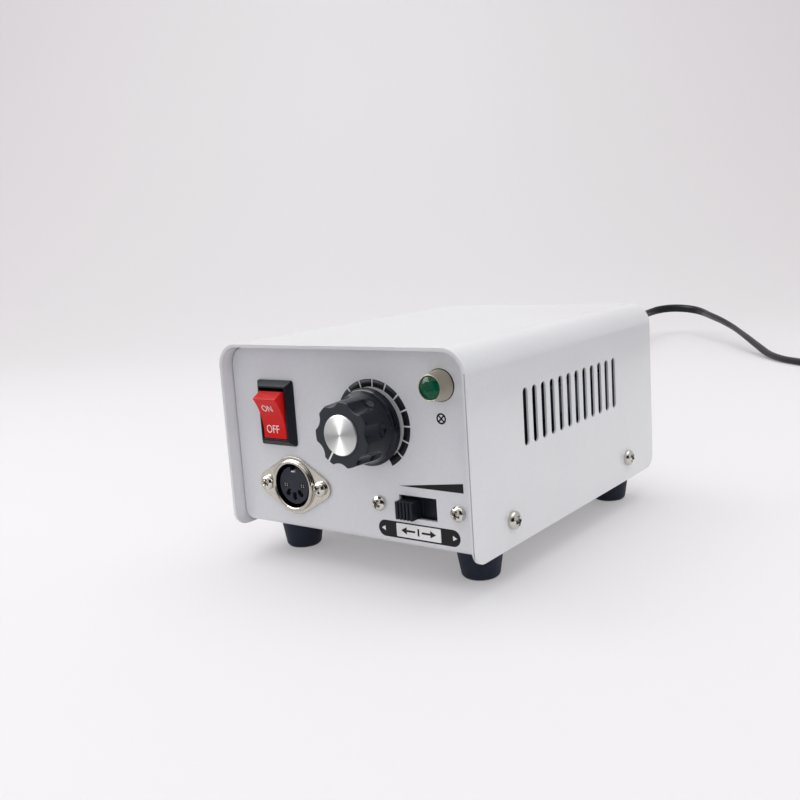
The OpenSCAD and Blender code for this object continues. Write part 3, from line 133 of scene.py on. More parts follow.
def place_on(tree):
    """The coordinates of a piece, in metres in the object's frame."""
    return add(tree, "ShaderNodeTexCoord").outputs["Object"]


def grained(name, low, high, roughness, size_mm, bump_mm, stretch=(1, 1, 1), **sockets):
    """A material with fine unevenness of one grain size, in its colour from low to high, its roughness and
    its height. Gives its tree, shader and bump with it."""
    material, tree, shader = surface(name, low, roughness[0], **sockets)
    mapping = add(tree, "ShaderNodeMapping", {"Vector": place_on(tree), "Scale": stretch}).outputs["Vector"]
    noise = add(tree, "ShaderNodeTexNoise", {
        "Vector": mapping, "Scale": 1 / (size_mm * MM), "Detail": 4.0, "Roughness": 0.6,
    })
    blotch = add(tree, "ShaderNodeTexNoise", {
        "Vector": mapping, "Scale": 1 / (25 * size_mm * MM), "Detail": 3.0,
    })
    both = maths(tree, "ADD", noise.outputs["Fac"], blotch.outputs["Fac"])
    spread = {"Value": both, "From Min": 0.7, "From Max": 1.3}
    share = add(tree, "ShaderNodeMapRange", spread)
    colour = mixed(tree, share.outputs[0], linear(low), linear(high))
    rough = add(tree, "ShaderNodeMapRange", {**spread, "To Min": roughness[0], "To Max": roughness[1]})
    bump = add(tree, "ShaderNodeBump", {"Height": noise.outputs["Fac"], "Distance": bump_mm * MM})
    tree.links.new(colour, shader.inputs["Base Color"])
    tree.links.new(rough.outputs[0], shader.inputs["Roughness"])
    tree.links.new(bump.outputs[0], shader.inputs["Normal"])
    return material, tree, shader, bump


def finish(*values, **sockets):
    """A grained material by itself."""
    return grained(*values, **sockets)[0]


# Baked polyester powder coat on sheet steel: satin, with a fine orange peel
powder_coat = finish("powder_coated_steel", "#DFDFE1", "#E4E4E6", (0.3, 0.38), 1.1, 0.008,
                     coat_weight=0.7, coat_roughness=0.12)
# The same coat on the chassis and its printed front, a little bluer
panel_coat = finish("powder_coated_panel", "#DADADE", "#E0E0E4", (0.36, 0.44), 1.1, 0.008,
                    coat_weight=0.5, coat_roughness=0.16)
# Darker grey for a thin line along the front edge of the cover's right wall
edge_line_grey = finish("thin_powder_coat", "#9C9CA2", "#A9A9AF", (0.4, 0.5), 0.5, 0.004)
# Bright zinc on small steel screws: soft mirror with a warm tint
bright_zinc = finish("bright_zinc_steel", "#CBC8C0", "#DDDAD4", (0.06, 0.14), 0.5, 0.004, metallic=1.0)
# Nickel plate on pressed steel: warm grey, slightly rubbed
nickel_plate = finish("nickel_plate", "#B7B1A6", "#CDC9C0", (0.12, 0.22), 0.7, 0.004, metallic=1.0)
# Dull nickel of the lamp's turned body
dull_nickel = finish("dull_nickel", "#BDB5A4", "#CBC4B4", (0.3, 0.4), 0.4, 0.006, metallic=1.0)
# Zinc plated pressed steel brackets
pressed_zinc = finish("pressed_zinc_steel", "#A9A9A6", "#BDBDBA", (0.3, 0.42), 0.8, 0.01, metallic=1.0)
# Plain drawn aluminium, matt with fine lines along the part
drawn_aluminium = finish("drawn_aluminium", "#B4B5B8", "#C6C7CA", (0.28, 0.4), 0.5, 0.006, (1, 0.05, 1),
                         metallic=1.0)
# Tinned brass tags, dull silver
tinned_brass = finish("tinned_brass", "#B9B4A6", "#CCC8BB", (0.3, 0.42), 0.4, 0.005, metallic=1.0)
# Silver plated spring contacts, slightly tarnished
contact_silver = finish("silver_plate", "#BDBAB2", "#D2CFC8", (0.2, 0.3), 0.3, 0.003, metallic=1.0)
# Nickel plated solid pins
plated_pin = finish("plated_brass_pin", "#BFBDB6", "#D0CEC8", (0.16, 0.26), 0.6, 0.003, metallic=1.0)
# Moulded rubber of the feet: nearly black with a blue cast, dusty
foot_rubber = finish("moulded_rubber", "#121726", "#1C2236", (0.5, 0.66), 0.6, 0.02, specular_ior_level=0.3)
# Nylon of switch bodies: blue-black with a faint sheen
black_nylon = finish("black_nylon", "#14171F", "#1B1F28", (0.36, 0.46), 0.5, 0.006, specular_ior_level=0.22)
# Moulded phenolic of the socket's insert: slate blue-black, dull
slate_moulding = finish("slate_phenolic", "#1B1F2C", "#262A38", (0.4, 0.55), 0.4, 0.01,
                        specular_ior_level=0.3)
# Red polycarbonate of the rocker
red_moulding = finish("red_rocker_moulding", "#D61412", "#DE1C19", (0.26, 0.34), 1.6, 0.003,
                      specular_ior_level=0.16)
# Pad printed white letters and pointer
white_print = finish("white_print", "#E9E6E6", "#F4F2F2", (0.4, 0.5), 0.3, 0.003)
# Screen printed black on the panel, also painted shade beside the holes of the socket's insert
black_print_and_shade = finish("black_screen_print", "#0E0F15", "#14151C", (0.4, 0.5), 0.3, 0.003,
                     specular_ior_level=0.25)
# Soft PVC of the lead: satin black, faintly uneven
black_pvc = finish("black_pvc", "#0F1012", "#17191B", (0.36, 0.48), 0.8, 0.01, specular_ior_level=0.26)
# Natural nylon, slightly yellow
natural_nylon = finish("natural_nylon", "#D6D2C4", "#E2DFD3", (0.4, 0.5), 0.6, 0.006)
# Brown paper laminate
brown_laminate = finish("paper_laminate", "#5B3A20", "#6F4A2B", (0.4, 0.55), 0.3, 0.006, (1, 0.1, 1))
# Polyester tape over the winding: dark blue, smooth
winding_tape = finish("polyester_tape", "#101A3C", "#182450", (0.2, 0.3), 3.0, 0.03, (1, 1, 0.1))
# Green solder mask over glass laminate
solder_mask = finish("green_solder_mask", "#0F4A26", "#186034", (0.28, 0.4), 1.5, 0.02)
# Shrink sleeve of the capacitors
shrink_sleeve = finish("shrink_sleeve", "#141B33", "#1C2543", (0.2, 0.3), 1.0, 0.01)
# Blue lacquer of film resistors
blue_lacquer = finish("blue_lacquer", "#6F94A6", "#86A9B8", (0.25, 0.35), 0.5, 0.02)
# Moulded acrylic lens: clear dark green with a wet gloss
green_acrylic = finish("green_acrylic", "#033A27", "#066343", (0.05, 0.1), 0.8, 0.002, ior=1.49,
                       specular_ior_level=0.26)
# Soda glass tube of the fuse
fuse_glass = finish("fuse_glass", "#E2ECEA", "#F0F5F4", (0.03, 0.08), 0.8, 0.002, ior=1.5,
                    transmission_weight=0.9)

LAMINATION = 1.0
MATT_DEPTH = (0.4 * MM, 0.1 * MM)


def laminated_steel():
    """Varnished transformer laminations: dark steel sheets seen on edge, drawn thick so that they show."""
    material, tree, shader, bump = grained("varnished_laminations", "#33343A", "#4A4B50", (0.4, 0.55),
                                           0.5, 0.01, metallic=0.8)
    wave = add(tree, "ShaderNodeTexWave", {
        "Vector": place_on(tree), "Scale": 1 / (2 * math.pi * LAMINATION * MM),
    }, bands_direction="X")
    ridges = add(tree, "ShaderNodeBump", {
        "Height": wave.outputs["Fac"], "Distance": 0.08 * MM, "Normal": bump.outputs[0],
    })
    tree.links.new(ridges.outputs[0], shader.inputs["Normal"])
    return material


def knob_black():
    """Thermoset moulding of the knob: polished navy black on its flank, matt on its face, where a lighter
    grey is painted in as the sheen of the matt face.
    """
    material, tree, shader, bump = grained("black_thermoset", "#0A0D17", "#10141F", (0.08, 0.16),
                                           1.2, 0.003, specular_ior_level=0.3)
    colour, rough = (shader.inputs[socket].links[0].from_socket for socket in ("Base Color", "Roughness"))
    axes = add(tree, "ShaderNodeSeparateXYZ", {0: place_on(tree)})
    face_y = (PANEL_Y - KNOB_FACE) * MM
    face = add(tree, "ShaderNodeMapRange", {
        "Value": axes.outputs["Y"], "From Min": face_y + MATT_DEPTH[0], "From Max": face_y + MATT_DEPTH[1],
    })
    # Painted sheen: the face's matt finish is real, its lighter grey stands in for the sheen it shows under
    # bright light
    tone = mixed(tree, face.outputs[0], colour, linear("#292C33"))
    dull = add(tree, "ShaderNodeMix", {"Factor": face.outputs[0], 2: rough, 3: 0.5})
    tree.links.new(tone, shader.inputs["Base Color"])
    tree.links.new(dull.outputs[0], shader.inputs["Roughness"])
    return material


def spun_disc():
    """Face-turned aluminium: fine rings round the centre pull each highlight out into two opposite fans."""
    material, tree, shader = surface("face_turned_aluminium", "#E4E4E3", 0.52, metallic=1.0,
                                     anisotropic=0.85)
    polar = add(tree, "ShaderNodeUVMap", uv_map="polar")
    split = add(tree, "ShaderNodeSeparateXYZ", {0: polar.outputs[0]})
    rings = add(tree, "ShaderNodeCombineXYZ", {0: split.outputs[0]})
    # Turning marks every 0.15 mm, drawn with the uneven depth that a tool leaves
    noise = add(tree, "ShaderNodeTexNoise", {"Vector": rings.outputs[0], "Scale": 1 / 0.15, "Detail": 3.0})
    colour = mixed(tree, noise.outputs["Fac"], linear("#DCDCDB"), linear("#F0F0EF"))
    bump = add(tree, "ShaderNodeBump", {"Height": noise.outputs["Fac"], "Distance": 0.01 * MM})
    tangent = add(tree, "ShaderNodeTangent", direction_type="UV_MAP", uv_map="polar")
    tree.links.new(colour, shader.inputs["Base Color"])
    tree.links.new(bump.outputs[0], shader.inputs["Normal"])
    tree.links.new(tangent.outputs[0], shader.inputs["Tangent"])
    return material


core_steel = laminated_steel()
black_moulding = knob_black()
turned_face = spun_disc()


# Meshes

def link(name, data, material=None):
    """Shows a mesh or other data as a new object, in one material where that is given."""
    data.name = name
    made = bpy.data.objects.new(name, data)
    bpy.context.scene.collection.objects.link(made)
    if material:
        data.materials.clear()
        data.materials.append(material)
    return made


def shown_mesh(made):
    """The mesh that an object shows with its modifiers."""
    bpy.context.view_layer.update()
    graph = bpy.context.evaluated_depsgraph_get()
    return bpy.data.meshes.new_from_object(made.evaluated_get(graph), preserve_all_data_layers=True,
                                           depsgraph=graph)


def modify(piece, kind, **settings):
    put(piece.modifiers.new(kind.lower(), kind), **settings)


def set_plain(piece):
    """Turns a piece with its modifiers into a plain mesh."""
    mesh = shown_mesh(piece)
    piece.modifiers.clear()
    piece.data = mesh


def give(piece, body, replaced=()):
    """Lets a piece ride on a body and the CAD nodes that it stands for."""
    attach(piece, body)
    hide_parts(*replaced)
    return piece


def smooth(mesh, angle):
    """Shades a mesh smooth but for its edges sharper than an angle."""
    mesh.shade_smooth()
    mesh.set_sharp_from_angle(angle=math.radians(angle))


def round_edges(piece, width, angle=35, segments=2):
    """Rounds the sharp edges of a piece and keeps its flat faces flat."""
    modify(piece, "BEVEL", width=width * MM, segments=segments, limit_method="ANGLE",
           angle_limit=math.radians(angle), use_clamp_overlap=True)
    modify(piece, "WEIGHTED_NORMAL", mode="FACE_AREA", weight=100)
    piece.data.shade_smooth()
    set_plain(piece)


def softened(node, name, material, width, shape_more=None):
    """A copy of a CAD node with its edges rounded, which stands for it."""
    mesh = frame["nodes"][node].data.copy()
    shape = bmesh.new()
    shape.from_mesh(mesh)
    bmesh.ops.remove_doubles(shape, verts=shape.verts, dist=0.002 * MM)
    bmesh.ops.dissolve_limit(shape, angle_limit=math.radians(0.6), verts=shape.verts, edges=shape.edges)
    if shape_more:
        shape_more(shape)
    shape.to_mesh(mesh)
    shape.free()
    piece = link(name, mesh, material)
    round_edges(piece, width)
    body = next(b for b, nodes in frame["record"]["behaviour"]["bodies"].items() if node in nodes)
    give(piece, body, [node])


def facing_front(x, y, z):
    """Placing for a piece drawn flat, x right and y up, with its z pointing forwards."""
    place = Matrix.Translation(Vector((x, y, z)) * MM)
    return place @ Matrix.Rotation(math.pi / 2, 4, "X") @ Matrix.Scale(MM, 4)


def on_panel(x, z):
    return facing_front(x, PANEL_Y, z)


def show(name, mesh, place, material, body="case", replaced=(), edges=None):
    """Places a mesh as a piece that rides on a body, its edges rounded where that is given."""
    mesh.transform(place)
    piece = link(name, mesh, material)
    if edges:
        round_edges(piece, *edges)
    give(piece, body, replaced)


def circle(r, steps, turn=0.0):
    """Points round a circle about the origin, the first at a turn from the x axis."""
    angles = [2 * math.pi * k / steps + turn for k in range(steps)]
    return [(r * math.cos(a), r * math.sin(a)) for a in angles]


def oval(half_w, half_t, w_power, t_power, steps):
    """Points round an oval; a power under one makes its sides flatter."""
    return [(math.copysign(abs(x) ** w_power, x) * half_w, math.copysign(abs(y) ** t_power, y) * half_t)
            for x, y in circle(1, steps)]


def arc(r, start, end, steps):
    """Points along an arc about the origin, from one angle in degrees to another."""
    angles = [math.radians(start + (end - start) * k / steps) for k in range(steps + 1)]
    return [(r * math.cos(a), r * math.sin(a)) for a in angles]


def arc_band(r_in, r_out, start, end, steps=32):
    return arc(r_out, start, end, steps) + arc(r_in, end, start, steps)


def round_box(cx, cy, w, h, r, steps=8):
    """The outline of a box with rounded corners."""
    points = []
    for corner, (sx, sy) in enumerate(((1, 1), (-1, 1), (-1, -1), (1, -1))):
        x, y = cx + sx * (w / 2 - r), cy + sy * (h / 2 - r)
        points += [(x + a, y + b) for a, b in arc(r, 90 * corner, 90 * corner + 90, steps)]
    return points


def add_tube(shape, rings, capped=True):
    """Adds a skin through rings of equally many points, with its ends filled or joined to each other."""
    count = len(rings[0])
    points = [[shape.verts.new(p) for p in ring] for ring in rings]
    for a, b in zip(points, points[1:] if capped else points[1:] + points[:1]):
        for k in range(count):
            n = (k + 1) % count
            shape.faces.new((a[k], a[n], b[n], b[k]))
    if capped:
        shape.faces.new(list(reversed(points[0])))
        shape.faces.new(points[-1])


def add_prism(shape, outline, low, high):
    """Adds a prism over an outline, from one height to another."""
    add_tube(shape, [[(x, y, z) for x, y in outline] for z in (low, high)])


def closed_mesh(shape):
    """Turns what was built into a mesh, its faces outward."""
    bmesh.ops.recalc_face_normals(shape, faces=shape.faces)
    mesh = bpy.data.meshes.new("closed")
    shape.to_mesh(mesh)
    shape.free()
    return mesh


def tube(rings, capped=True):
    shape = bmesh.new()
    add_tube(shape, rings, capped)
    return closed_mesh(shape)


def prisms(outlines, low, high):
    shape = bmesh.new()
    for outline in outlines:
        add_prism(shape, outline, low, high)
    return closed_mesh(shape)


def lathe(profile, steps=96, capped=True):
    """A body of revolution from its half section, given as radius and height from one pole to the other, or
    as a closed outline where it isn't capped."""
    return tube([[(x, y, z) for x, y in circle(r, steps)] for r, z in profile], capped)


def rounded(points, radius, steps=4):
    """A half section with each inner corner rounded by a small arc."""
    made = [points[0]]
    for before, corner, after in zip(points, points[1:], points[2:]):
        b, c, a = Vector(before), Vector(corner), Vector(after)
        reach = min(radius, (b - c).length * 0.45, (a - c).length * 0.45)
        start, end = c + (b - c).normalized() * reach, c + (a - c).normalized() * reach
        for k in range(steps + 1):
            s = k / steps
            made.append(tuple(start * (1 - s) ** 2 + c * 2 * s * (1 - s) + end * s * s))
    return made + [points[-1]]


def fine_section(points, step):
    """A section with points added so that none of its straight runs is longer than a step."""
    made = []
    for a, b in zip(points, points[1:]):
        count = max(1, math.ceil((Vector(b) - Vector(a)).length / step))
        made += [tuple(Vector(a).lerp(Vector(b), k / count)) for k in range(count)]
    return made + [points[-1]]


# Mains lead

COIL_CENTRE = (52, 410)
COIL_R = 34
COIL_TURNS = 4.25
LOOP_RINGS = 24
LOOP_PITCH = CORD_W + 0.6
LAYER_STEP = CORD_T + 0.6
CLIMB_TURN = 180
SWING_TURN = 90
SWING_OUT = 13
PLUG_T = 13.7
LEAD_IN = 6
CORD_Z = CORD_T / 2 + 0.1
GROOVE_REACH = 0.35 * CORD_W / 2
GROOVE_DEPTH = 0.12
ROUTE_STEPS = 4
ROLL_RISE = (12, 19)
ROLL_FALL = (21, 33)

ROUTE = [
    (-33, 92.5, 45), (-33.1, 111, 44.7), (-34, 134, 42),
    (-37, 161, 35), (-41, 189, 25), (-46, 217, 14.5), (-52, 244, 6.7), (-59, 271, 3),
    (-68, 299, CORD_Z), (-78, 327, CORD_Z), (-89, 355, 2.9), (-100, 383, 5.3), (-111, 411, 9.4),
    (-122, 439, 13.7), (-131, 465, 17), (-138, 490, 19.2), (-142.5, 514, 20.1), (-144.2, 526, 20.5),
    (-144, 537.5, 20.9), (-140.8, 548.6, 21.9), (-132.8, 556.7, 22.4), (-121.6, 559.7, 21.8),
    (-110.3, 557.3, 20.4), (-101.6, 550, 19.2), (-94.8, 540.2, 18.7), (-88, 530, 18.2),
    (-74, 512, 16.5), (-59, 493, 13.6), (-46, 473, 11.2), (-34, 453, 9.1), (-22, 435, 6.1),
    (-9, 416, 3.1), (4.6, 399.4, CORD_Z), (16, 389.4, CORD_Z), (26, 382, CORD_Z), (35.7, 376.6, CORD_Z),
    (46, 376, CORD_Z),
]


def smooth_point(a, b, c, d, s):
    """A point between b and c on the smooth line through four points."""
    square, cube = 2 * a - 5 * b + 4 * c - d, 3 * b - a - 3 * c + d
    return (2 * b + (c - a) * s + square * s * s + cube * s ** 3) / 2


def free_stretch():
    """The route as a smooth curve with equally many steps between its points."""
    p = [Vector(point) for point in ROUTE]
    p = [2 * p[0] - p[1]] + p + [2 * p[-1] - p[-2]]
    curve = [smooth_point(*p[i:i + 4], k / ROUTE_STEPS)
             for i in range(len(ROUTE) - 1) for k in range(ROUTE_STEPS)]
    return curve + [p[-2]]


def share_of(value):
    """A value held between nothing and one."""
    return max(0.0, min(1.0, value))


def coil_stretch():
    """Loops that wind inwards on the table and outwards on top, then swing out to the plug."""
    sweep = 360 * COIL_TURNS
    count = int(LOOP_RINGS * COIL_TURNS)
    points = []
    for i in range(count + 1):
        turned = sweep * i / count
        middle = turned - sweep / 2
        last = share_of((turned - sweep + SWING_TURN) / SWING_TURN)
        r = COIL_R - LOOP_PITCH * (sweep / 2 - abs(middle)) / 360 + SWING_OUT * last * last * (3 - 2 * last)
        z = CORD_Z + LAYER_STEP * share_of(middle / CLIMB_TURN + 0.5)
        z += (PLUG_T / 2 - CORD_Z - LAYER_STEP) * last
        angle = math.radians(turned)
        centre = Vector((*COIL_CENTRE, z))
        points.append(centre + r * Vector((math.sin(angle), -math.cos(angle), 0)))
    return points + [points[-1] + Vector((0, LEAD_IN, 0))]


def lead_section():
    """Two round cores side by side with a shallow groove between them."""
    return [(a, b * (1 - GROOVE_DEPTH + GROOVE_DEPTH * min(1, abs(a) / GROOVE_REACH)))
            for a, b in oval(CORD_W / 2, CORD_T / 2, 0.8, 1, 24)]


def lead_roll(step):
    """The lead's roll at a point of its route: it lies flat, stands on edge at the top of its loop, and
    turns flat again."""
    rise, fall = (share_of((step - start) / (end - start)) for start, end in (ROLL_RISE, ROLL_FALL))
    return math.pi / 2 * min(rise, 1 - fall)


def make_lead(path):
    rings = []
    for i, point in enumerate(path):
        along = (path[min(i + 1, len(path) - 1)] - path[max(i - 1, 0)]).normalized()
        side = along.cross(Vector(UP)).normalized()
        upward = side.cross(along)
        roll = lead_roll(i / ROUTE_STEPS)
        broad = side * math.cos(roll) + upward * math.sin(roll)
        thin = upward * math.cos(roll) - side * math.sin(roll)
        rings.append([(point + broad * a + thin * b) * MM for a, b in lead_section()])
    mesh = tube(rings)
    mesh.shade_smooth()
    return link("mains_lead", mesh, black_pvc)


def make_plug(plug_at):
    """A slim two pole plug: flat oval face, drawn in to a finger grip and a short sleeve round the lead.
    Its stations are the distance along it, the half width and the half thickness."""
    stations = [
        (0, 6.0, 3.4), (0.6, 6.3, 3.7), (4, 6.5, 4.3), (9, 7.3, 5.2), (13, 9.2, 5.9), (16.5, 12.2, 6.35),
        (19, 15.2, 6.6), (21, 17.0, 6.75), (22.5, 17.55, 6.83), (24, 17.6, 6.85), (34.8, 17.6, 6.85),
        (35.6, 17.35, 6.6), (36, 16.8, 6.1),
    ]
    rings = [[(plug_at + Vector((a, y, b))) * MM for a, b in oval(half_w, half_t, 0.6, 0.75, 64)]
             for y, half_w, half_t in stations]
    mesh = tube(rings)
    smooth(mesh, 50)
    return give(link("plug_moulding", mesh, black_pvc), "case", ["plug_body"])


def make_cord():
    path = free_stretch() + coil_stretch()
    lead = make_lead(path)
    plug = make_plug(path[-1])
    give(lead, "case", ["power_cord", "cord_coil"])
    path = [tuple(p * MM) for p in path]


make_cord()


# Copies set out by Geometry Nodes

def copies_tree():
    """Sets a template out on points: each copy faces along its point's facing, and has its point's turn
    about that and a random turn within a range."""
    tree = bpy.data.node_groups.new("set_out_copies", "GeometryNodeTree")
    for name, kind in [("Points", "Geometry"), ("Template", "Object"), ("Random turn", "Float"),
                       ("Seed", "Int"), ("Finish", "Material")]:
        tree.interface.new_socket(name=name, in_out="INPUT", socket_type="NodeSocket" + kind)
    tree.interface.new_socket(name="Copies", in_out="OUTPUT", socket_type="NodeSocketGeometry")
    given = add(tree, "NodeGroupInput")
    template = add(tree, "GeometryNodeObjectInfo", {"Object": given.outputs["Template"]},
                   transform_space="ORIGINAL")
    facing = add(tree, "GeometryNodeInputNamedAttribute", {"Name": "facing"}, data_type="FLOAT_VECTOR")
    turn = add(tree, "GeometryNodeInputNamedAttribute", {"Name": "turn"}, data_type="FLOAT")
    aimed = add(tree, "FunctionNodeAlignRotationToVector", {"Vector": facing.outputs["Attribute"]},
                axis="Z")
    chance = add(tree, "FunctionNodeRandomValue", {
        "Max": given.outputs["Random turn"], "Seed": given.outputs["Seed"],
    }, data_type="FLOAT")
    both = maths(tree, "ADD", turn.outputs["Attribute"], chance.outputs[1])
    spin = add(tree, "ShaderNodeCombineXYZ", {"Z": both})
    rotation = add(tree, "FunctionNodeEulerToRotation", {0: spin.outputs[0]})
    turned = add(tree, "FunctionNodeRotateRotation", {
        "Rotation": aimed.outputs[0], "Rotate By": rotation.outputs[0],
    }, rotation_space="LOCAL")
    placed = add(tree, "GeometryNodeInstanceOnPoints", {
        "Points": given.outputs["Points"], "Instance": template.outputs["Geometry"],
        "Rotation": turned.outputs[0], "Scale": (MM, MM, MM),
    })
    real = add(tree, "GeometryNodeRealizeInstances", {"Geometry": placed.outputs[0]})
    dressed = add(tree, "GeometryNodeSetMaterial", {
        "Geometry": real.outputs[0], "Material": given.outputs["Finish"],
    })
    add(tree, "NodeGroupOutput", {"Copies": dressed.outputs[0]})
    return tree


copies = copies_tree()


def set_out(name, template, places, material, random_turn=0.0, seed=1):
    """One piece made of copies of a template, at places given as a point, the way faced and the turn."""
    mesh = bpy.data.meshes.new(name)
    mesh.from_pydata([Vector(point) * MM for point, way, turn in places], [], [])
    mesh.attributes.new("facing", "FLOAT_VECTOR", "POINT")
    mesh.attributes.new("turn", "FLOAT", "POINT")
    for i, (point, way, turn) in enumerate(places):
        mesh.attributes["facing"].data[i].vector = way
        mesh.attributes["turn"].data[i].value = turn
    piece = link(name, mesh)
    modifier = piece.modifiers.new("copies", "NODES")
    modifier.node_group = copies
    values = {"Template": template, "Random turn": random_turn, "Seed": seed, "Finish": material}
    for item in copies.interface.items_tree:
        if item.in_out == "INPUT" and item.name in values:
            modifier[item.identifier] = values[item.name]
    set_plain(piece)
    bpy.data.objects.remove(template)
    return piece


def screw_template(d, head_d, head_h, length):
    """A cross head screw with its seat at zero: a rounded head with a tapered cross cut into it."""
    profile = [(AXIS_R, head_h)]
    for k in range(1, 10):
        angle = math.pi / 2 * k / 9
        profile.append((head_d / 2 * math.sin(angle), head_h * (0.25 + 0.75 * math.cos(angle))))
    profile += [(head_d / 2 - 0.1, 0), (d / 2, 0), (d / 2, 0.4 - length), (d / 2 - 0.3, -length),
                (AXIS_R, -length)]
    screw = link("screw", lathe(profile, 48))
    cross = bmesh.new()
    for turn in (0, math.pi / 2):
        spin = Matrix.Rotation(turn, 3, "Z")
        add_tube(cross, [
            [spin @ Vector((sx * reach * head_d, sy * thick * head_d, z * head_h))
             for sx, sy in ((-1, -1), (1, -1), (1, 1), (-1, 1))]
            for z, reach, thick in ((0.25, 0.17, 0.06), (1.2, 0.34, 0.12))
        ])
    cutter = link("cross", closed_mesh(cross))
    modify(screw, "BOOLEAN", object=cutter, solver="EXACT", use_self=True)
    set_plain(screw)
    bpy.data.objects.remove(cutter)
    smooth(screw.data, 40)
    return screw


SOCKET_SCREW_Y = PANEL_Y - 0.8

give(set_out("cover_screw_heads", screw_template(3, 5.6, 2.4, 6), [
    ((side * 47, y, 18.4), (side, 0, 0), 0) for side in (-1, 1) for y in (-39.9, 41.8)
], bright_zinc, random_turn=math.pi, seed=5), "case", ["cover_screws"])
give(set_out("panel_screw_heads", screw_template(2.5, 4.8, 1.9, 5.5), [
    ((-33.35, SOCKET_SCREW_Y, 26.0), FRONT, 0), ((-11.05, SOCKET_SCREW_Y, 26.0), FRONT, 0),
    ((11.4, PANEL_Y, 23.9), FRONT, 0), ((39.4, PANEL_Y, 23.9), FRONT, 0),
], bright_zinc, random_turn=math.pi, seed=3), "case", ["panel_screws"])


# Case

SHEET_INSIDE_X = 46
THIN_INSIDE_X = 46.35
SLOTS_Y = (-35, 38)
SLOTS_Z = (37, 57)


def thin_slots(shape):
    """Draws in the sheet round the vent slots from the inside, so that their punched edges look thin."""
    for point in shape.verts:
        x, y, z = point.co / MM
        at_slots = SLOTS_Y[0] < y < SLOTS_Y[1] and SLOTS_Z[0] < z < SLOTS_Z[1]
        if at_slots and abs(abs(x) - SHEET_INSIDE_X) < 0.05:
            point.co.x = math.copysign(THIN_INSIDE_X * MM, x)


softened("cover", "cover_sheet", powder_coat, 0.14, thin_slots)
softened("chassis", "chassis_sheet", panel_coat, 0.2)
softened("feet", "rubber_feet", foot_rubber, 0.35)


# Marks printed on the panel, plain shapes in place of words

PRINT_T = 0.04
KNOB = (10.9, 47.4)
DIAL = (11.0, PANEL_Y, 47.7)
DIAL_ARCS = 14
DIAL_R = 12.36
DIAL_W = 2.3
DIAL_FIRST = math.radians(-64)
DIAL_STEP = math.radians(21.5)
DIAL_GAP = math.radians(2.2)
PILL = (25, 16.4)
SPEED_WEDGE = (30.2, 30.4)
LAMP_MARK = (35.4, 50.8)


def dial_arc():
    """One arc of the dial: a flat strip, raised by a print's thickness and smooth over its edges."""
    tree = bpy.data.node_groups.new("dial_arc", "GeometryNodeTree")
    tree.interface.new_socket(name="Start", in_out="INPUT", socket_type="NodeSocketGeometry")
    tree.interface.new_socket(name="Arc", in_out="OUTPUT", socket_type="NodeSocketGeometry")
    line = add(tree, "GeometryNodeCurvePrimitiveLine", {
        "Start": (-DIAL_W / 2, 0, 0), "End": (DIAL_W / 2, 0, 0),
    })
    curve = add(tree, "GeometryNodeCurveArc", {
        "Resolution": 16, "Radius": DIAL_R, "Start Angle": 0, "Sweep Angle": DIAL_STEP - DIAL_GAP,
    }, mode="RADIUS")
    flat = add(tree, "GeometryNodeCurveToMesh", {"Curve": curve.outputs[0], "Profile Curve": line.outputs[0]})
    thick = add(tree, "GeometryNodeExtrudeMesh", {
        "Mesh": flat.outputs[0], "Offset Scale": PRINT_T, "Individual": False,
    })
    add(tree, "NodeGroupOutput", {"Arc": thick.outputs[0]})
    template = link("dial_arc", bpy.data.meshes.new("dial_arc"))
    template.modifiers.new("arc", "NODES").node_group = tree
    set_plain(template)
    return template


def make_dial():
    """Equal black arcs round the knob with thin gaps between them."""
    give(set_out("dial_ring", dial_arc(), [
        (DIAL, FRONT, DIAL_FIRST + DIAL_GAP / 2 + DIAL_STEP * k) for k in range(DIAL_ARCS)
    ], black_print_and_shade), "case")


def flat_piece(name, outlines, material, place, base=0.0):
    """Flat shapes a hair thick, such as printed marks and painted shade, each given as its outline."""
    show(name, prisms(outlines, base, base + PRINT_T), place, material)


make_dial()
flat_piece("direction_plate_print", [round_box(0, 0, 29, 5.0, 2.49)], black_print_and_shade, on_panel(*PILL))
flat_piece("direction_plate_window", [
    round_box(0, 0.05, 15.8, 4.1, 0.3),
    [(-13.4, 0), (-12.0, 0.75), (-12.0, -0.75)],
    [(13.4, 0), (12.0, -0.75), (12.0, 0.75)],
], white_print, on_panel(*PILL), PRINT_T)
flat_piece("direction_plate_arrows", [
    [(-6.2, 0.05), (-4.2, 1.15), (-4.2, 0.35), (-1.2, 0.35), (-1.2, -0.25), (-4.2, -0.25), (-4.2, -1.05)],
    [(6.2, 0.05), (4.2, -1.05), (4.2, -0.25), (1.2, -0.25), (1.2, 0.35), (4.2, 0.35), (4.2, 1.15)],
    round_box(0, 0.05, 0.6, 2.2, 0.05),
], black_print_and_shade, on_panel(*PILL), 2 * PRINT_T)
flat_piece("speed_wedge_print", [[(-11.2, -0.45), (11.2, -0.45), (11.2, 2.3)]], black_print_and_shade,
           on_panel(*SPEED_WEDGE))
flat_piece("lamp_mark_print", [
    arc_band(1.12, 1.6, 45, 225), arc_band(1.12, 1.6, 225, 405),
    [(-0.98, -0.66), (-0.66, -0.98), (0.98, 0.66), (0.66, 0.98)],
    [(-0.98, 0.66), (-0.66, 0.98), (0.98, -0.66), (0.66, -0.98)],
], black_print_and_shade, on_panel(*LAMP_MARK))

# A thin darker grey line along the front edge of the cover's right wall
EDGE_OUTLINE = [(46.58, 12.6), (46.88, 12.6), (46.88, 64.4), (46.58, 64.4)]
flat_piece("cover_edge_line", [EDGE_OUTLINE], edge_line_grey, facing_front(0, COVER_FRONT_Y, 0))


# Power switch

